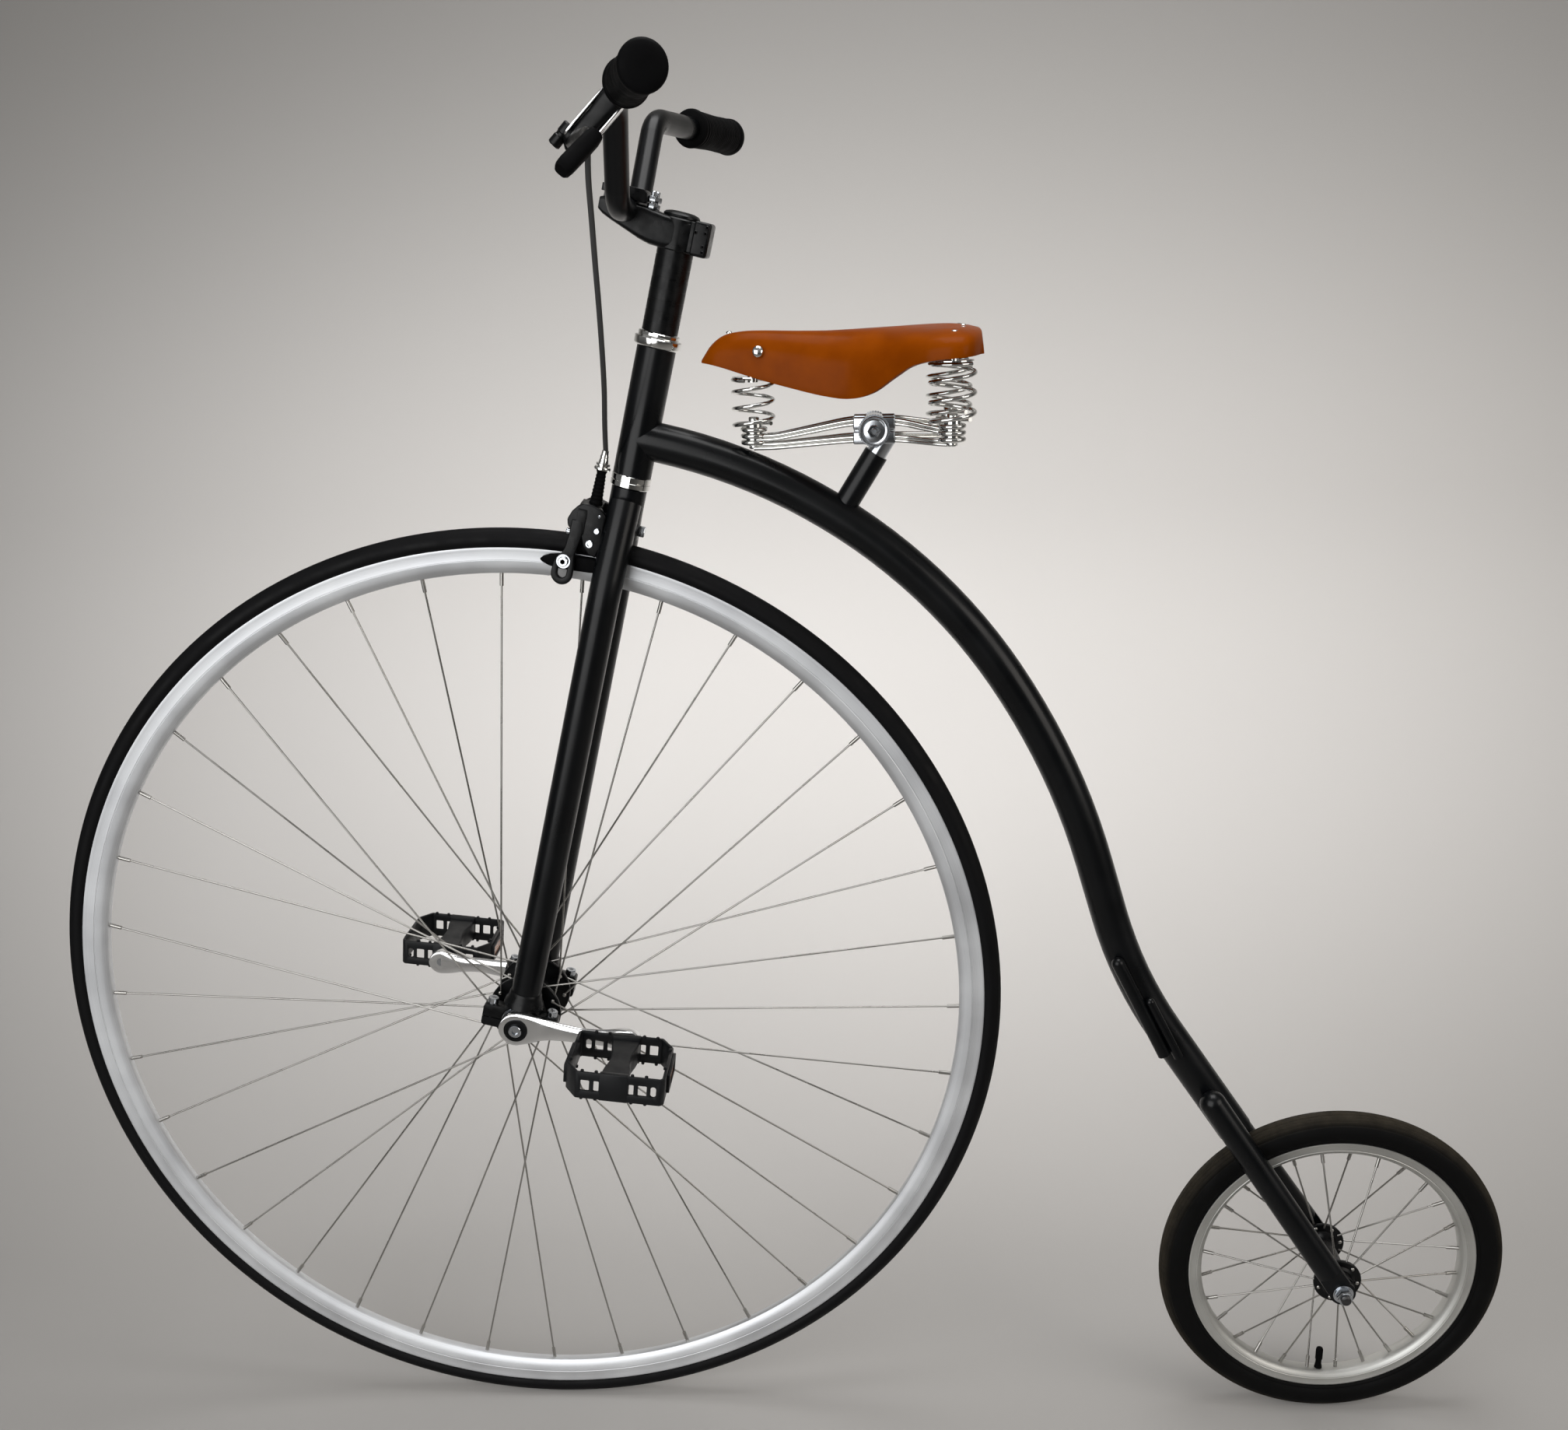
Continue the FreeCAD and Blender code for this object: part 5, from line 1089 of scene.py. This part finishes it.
front_hub = hub_shape(barrel=17, flange=39, half_spread=28, end=45, bore=12.1)
piece("turned_front_hub", [(front_hub, at_front_axle @ axis_y)], black_alloy, "front_wheel", ["front_hub"])
heads = spoke_heads(36, phase=0.91, first_side=-1, crossing_deg=49, circle=33, half_spread=28)
piece("front_spoke_heads", [(heads, at_front_axle)], spoke_steel, "front_wheel")
rear_hub = hub_shape(barrel=13, flange=26, half_spread=37, end=52, bore=5.05)
piece("turned_rear_hub", [(rear_hub, at_rear_axle @ axis_y)], black_alloy, "rear_wheel", ["rear_hub"])
heads = spoke_heads(28, phase=0.61, first_side=1, crossing_deg=0, circle=21.5, half_spread=37)
piece("rear_spoke_heads", [(heads, at_rear_axle)], spoke_steel, "rear_wheel")

# %% [markdown]
# ## Rims and tyres
# A rim is a hollow extrusion rolled into a hoop: a lip that holds the tyre, a flat side that the
# brake rubs, a fine machined line where that side ends, and a bed that narrows to the spokes. The
# outline is spun in many steps, because a large hoop shows every corner.

# %% Rims
def hoop(outline_half, steps):
    """An outline given for one side, completed on the other and spun about the axle."""
    return turned([(radius, -side_at) for radius, side_at in outline_half]
        + [(radius, side_at) for radius, side_at in reversed(outline_half)], steps)


front_rim = hoop([(496, 6), (497, 8.6), (496.6, 9.5), (495.2, 9.7), (494, 9.4), (484.6, 9.5), (484.2, 9.1),
    (483.6, 9.1), (483.2, 9.4), (478, 8.6), (473.4, 6.9), (470.8, 4.8), (470, 2.4)], 240)
piece("rolled_front_rim", [(front_rim, at_front_axle @ axis_y)], front_alloy, "front_wheel", ["front_rim"],
    25)
rear_rim = hoop([(158, 9), (159, 11.6), (158.6, 12.5), (157.4, 12.7), (156.4, 12.3), (150.4, 12.3),
    (150, 11.9), (149.5, 11.9), (149.1, 12.2), (146.4, 10.8), (144, 8), (143, 4.6)], 160)
piece("rolled_rear_rim", [(rear_rim, at_rear_axle @ axis_y)], rear_alloy, "rear_wheel", ["rear_rim"], 25)

# %% [markdown]
# The front tyre is a narrow, nearly smooth one with two fine grooves. The rear tyre is a fat small
# one: a bead line, a round wall, and a shallow tread of ribs, worn and dusty where it rolls.

# %% Tyres
front_tyre = hoop([(496.4, 7.4), (496.8, 9.6), (499, 11.4), (502.6, 12.5), (506, 12.1), (508.6, 10.7),
    (511.2, 8.4), (511, 7.9), (511.7, 7.4), (513.4, 4.9), (513, 4.4), (513.7, 3.9), (514.9, 1.2)], 240)
piece("moulded_front_tyre", [(front_tyre, at_front_axle @ axis_y)], tyre_rubber, "front_wheel",
    ["front_tyre"], 50)
tread = [(158.6, 10), (159, 12.6), (160.4, 14.2), (162, 14.9), (162.6, 14.7), (164.4, 16.2), (168, 17.6),
    (172, 18), (176, 17.7), (180, 16.2)]
tread_centre = 172
tread_round = 18
for rib_at in (15.3, 12.3, 9.1, 5.8, 2.3):
    top = tread_centre + sqrt(tread_round ** 2 - rib_at ** 2)
    tread += [(top - 0.9, rib_at + 0.55), (top, rib_at + 0.1), (top + 0.25, rib_at - 0.9),
        (top + 0.1, rib_at - 1.7)]
rear_tyre = hoop(tread, 160)
piece("moulded_rear_tyre", [(rear_tyre, at_rear_axle @ axis_y)], dusty_rubber, "rear_wheel", ["rear_tyre"],
    50)

# %% [markdown]
# ## Rear axle and valve
# The axle's thread stands out of its nuts. The valve is a rubber stem with a knurled cap.

# %% Axle ends and valve
thread_pitch = 0.6
thread = [(0, 55)]
for step in range(38):
    thread += [(4.8, 55 + step * thread_pitch), (5.2, 55 + (step + 0.5) * thread_pitch)]
thread += [(4.4, 78.6), (0, 78.8)]
nuts, threads = [], [(lathe([(5, -56), (5, 56)]), at_rear_axle @ axis_y)]
for side in (-1, 1):
    face = at_rear_axle @ pointing((0, side * 62.5, 0), (0, side, 0))
    nuts += [(lathe([(10.6, 0), (11, 0.5), (11, 1.6)], 40), face), (hex_nut(15, 9), face @ moved(z=2.8)),
        (lathe([(9, 1.6), (9.6, 2.2), (9.6, 3.2)], 40), face)]
    threads += fixed(at_rear_axle, (turned(thread, 32), (0, 0, 0), (0, side, 0)))
piece("rear_axle_nuts", nuts, zinc, "frame", ["rear_axle"])
piece("rear_axle_thread", threads, dark_steel, "frame")
valve_low, valve_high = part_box("rear_valve")
valve_foot = moved((valve_low.x + valve_high.x) / 2, 0, valve_low.z) @ upright
stem_share = 0.82
cap_top = (valve_high.z - valve_low.z) / MM * stem_share
valve = [(0, 0), (4.4, 0), (4, 3), (3.4, 6), (3.4, cap_top * 0.4), (4.1, cap_top * 0.44), (4.1, cap_top - 3),
    (3.3, cap_top - 0.8), (0, cap_top)]
piece("capped_valve", [(turned(valve, 24), valve_foot)], grip_rubber, "rear_wheel", ["rear_valve"])

# %% [markdown]
# ## Saddle springs and rails
# Three chromed coils carry the hide: one under the nose and two at the back. Each is a wire wound
# on a helix that closes flat at both ends. Under them the rails are pairs of wire that end in eyes,
# stacked round the spring's post, and a toothed disc and two square plates clamp them to the post.

# %% Saddle springs
spring_feet = [(-116, 0, 4), (73, -44, 7), (73, 44, 7)]
coil_reach = 19.75
springs_low = span("saddle_springs", upright)[0]
clamp_at = springs_low.x + coil_reach - spring_feet[0][0], 0, springs_low.z - spring_feet[0][2]
at_clamp = upright @ moved(*clamp_at)


def coil(x, y, low, height, turns, radius, wire_radius):
    """A spring on a helix whose pitch closes at both ends."""
    sections = []
    steps_a_turn = 26
    steps = round((turns + 1) * steps_a_turn)
    for step in range(steps + 1):
        share = step / steps
        turn_by = 2 * pi * (turns + 1) * share + 0.6
        eased = min(max((share * (turns + 1) - 0.45) / (turns + 0.1), 0), 1)
        level = low + wire_radius + (height - 2 * wire_radius) * eased
        out = Vector((cos(turn_by), sin(turn_by), 0))
        sections.append((Vector((x, y, level)) + out * radius, out * wire_radius, (0, 0, wire_radius), 2))
    return skin(sections, 10)


coils = [(coil(*spring_feet[0], 46, 2.6, 19.2, 2), at_clamp)]
coils += [(coil(*spring_foot, 56, 2.8, 21, 2.1), at_clamp) for spring_foot in spring_feet[1:]]
piece("wound_saddle_springs", coils, chrome, "frame", ["saddle_springs"], 80)

# %% Saddle rails and spring feet
def wire(corners, radius):
    """A round wire through a line of corners, with the corners eased."""
    widest_ease = 14
    ease_steps = 6
    spots = [Vector(corners[0])]
    for before, corner, after in zip(corners, corners[1:], corners[2:]):
        before, corner, after = Vector(before), Vector(corner), Vector(after)
        ease = min(widest_ease, (corner - before).length / 2, (after - corner).length / 2)
        start = corner + (before - corner).normalized() * ease
        stop = corner + (after - corner).normalized() * ease
        for step in range(ease_steps + 1):
            share = step / ease_steps
            spots.append(start * (1 - share) ** 2 + corner * 2 * share * (1 - share) + stop * share ** 2)
    spots.append(Vector(corners[-1]))
    sections = []
    for place_at, spot in enumerate(spots):
        run = (spots[min(place_at + 1, len(spots) - 1)] - spots[max(place_at - 1, 0)]).normalized()
        beside = run.cross(Vector((0, 0, 1))).normalized()
        sections.append((spot, beside * radius, beside.cross(run) * radius, 2))
    return skin(sections, 12)


above = 7.9
rails = []
for rise_at, front_level, rear_level in ((above, -6, 0.6), (-above, -14, -10.6)):
    for side in (-1, 1):
        for lift in (-1.9, 1.9):
            corners = [(-116, 6, front_level + lift), (-96, 8, front_level + lift * 0.9),
                (-22, 16, rise_at + lift), (22, 16, rise_at + lift), (60, 38, rear_level + lift * 0.9),
                (73, 44, rear_level + lift)]
            rails.append((wire([(x, side * y, z) for x, y, z in corners], 1.75), at_clamp))
eye = turned([(8.2, -2.3), (11.4, -2.3), (12.8, -1.5), (13.3, 0), (12.8, 1.5), (11.4, 2.3), (8.2, 2.3)], 40)
post = lathe([(3.6, -20.6), (3.6, -17.8), (8.4, -17), (8.4, 3), (5.2, 3.6), (5.2, 8.6), (4.2, 9.4)], 28)
for x, y, level_at in spring_feet:
    for drop in (0.6, 6.6, 12.6):
        rails.append((eye, at_clamp @ moved(x, y, level_at - 1.6 - drop)))
    rails.append((post, at_clamp @ moved(x, y, level_at)))
    rails.append((hex_nut(9, 3.4), at_clamp @ moved(x, y, level_at - 20.4)))
piece("wire_saddle_rails", rails, chrome, "frame", ["saddle_rails"], 60)

# %% Saddle clamp
teeth = []
tooth_sides = 72
for step in range(tooth_sides):
    turn_by = 2 * pi * step / tooth_sides
    reach_at = 15.4 if step % 2 else 14.6
    teeth.append((reach_at * cos(turn_by), reach_at * sin(turn_by)))
disc = plate(teeth, -22.4, -17.4)
sleeve = lathe([(9.5, -17.6), (9.5, 17.6)])
grip_parts = [(disc, at_clamp), (flipped(disc), at_clamp), (sleeve, at_clamp @ axis_y)]
for side in (-1, 1):
    at_disc = at_clamp @ pointing((0, side * 22.4, 0), (0, side, 0))
    grip_parts += [(lathe([(13.4, 0), (13.4, 0.9), (12.6, 2), (11.4, 2), (9.8, 1), (7.4, 1.4)], 48), at_disc),
        (lathe([(3, 0), (3, 8.2), (2.4, 8.8)], 24), at_disc), (hex_nut(11, 5.2), at_disc @ moved(z=1.4))]
    near, far = sorted((side * 11.6, side * 20.6))
    for low_z, high_z in ((0.8, 12.6), (-12.6, -0.8)):
        grip_parts.append((block((-20, near, low_z), (20, far, high_z), 1.6, 3), at_clamp))
print("clamp stands at", [round(value, 1) for value in clamp_at])
piece("toothed_saddle_clamp", grip_parts, zinc, "frame")
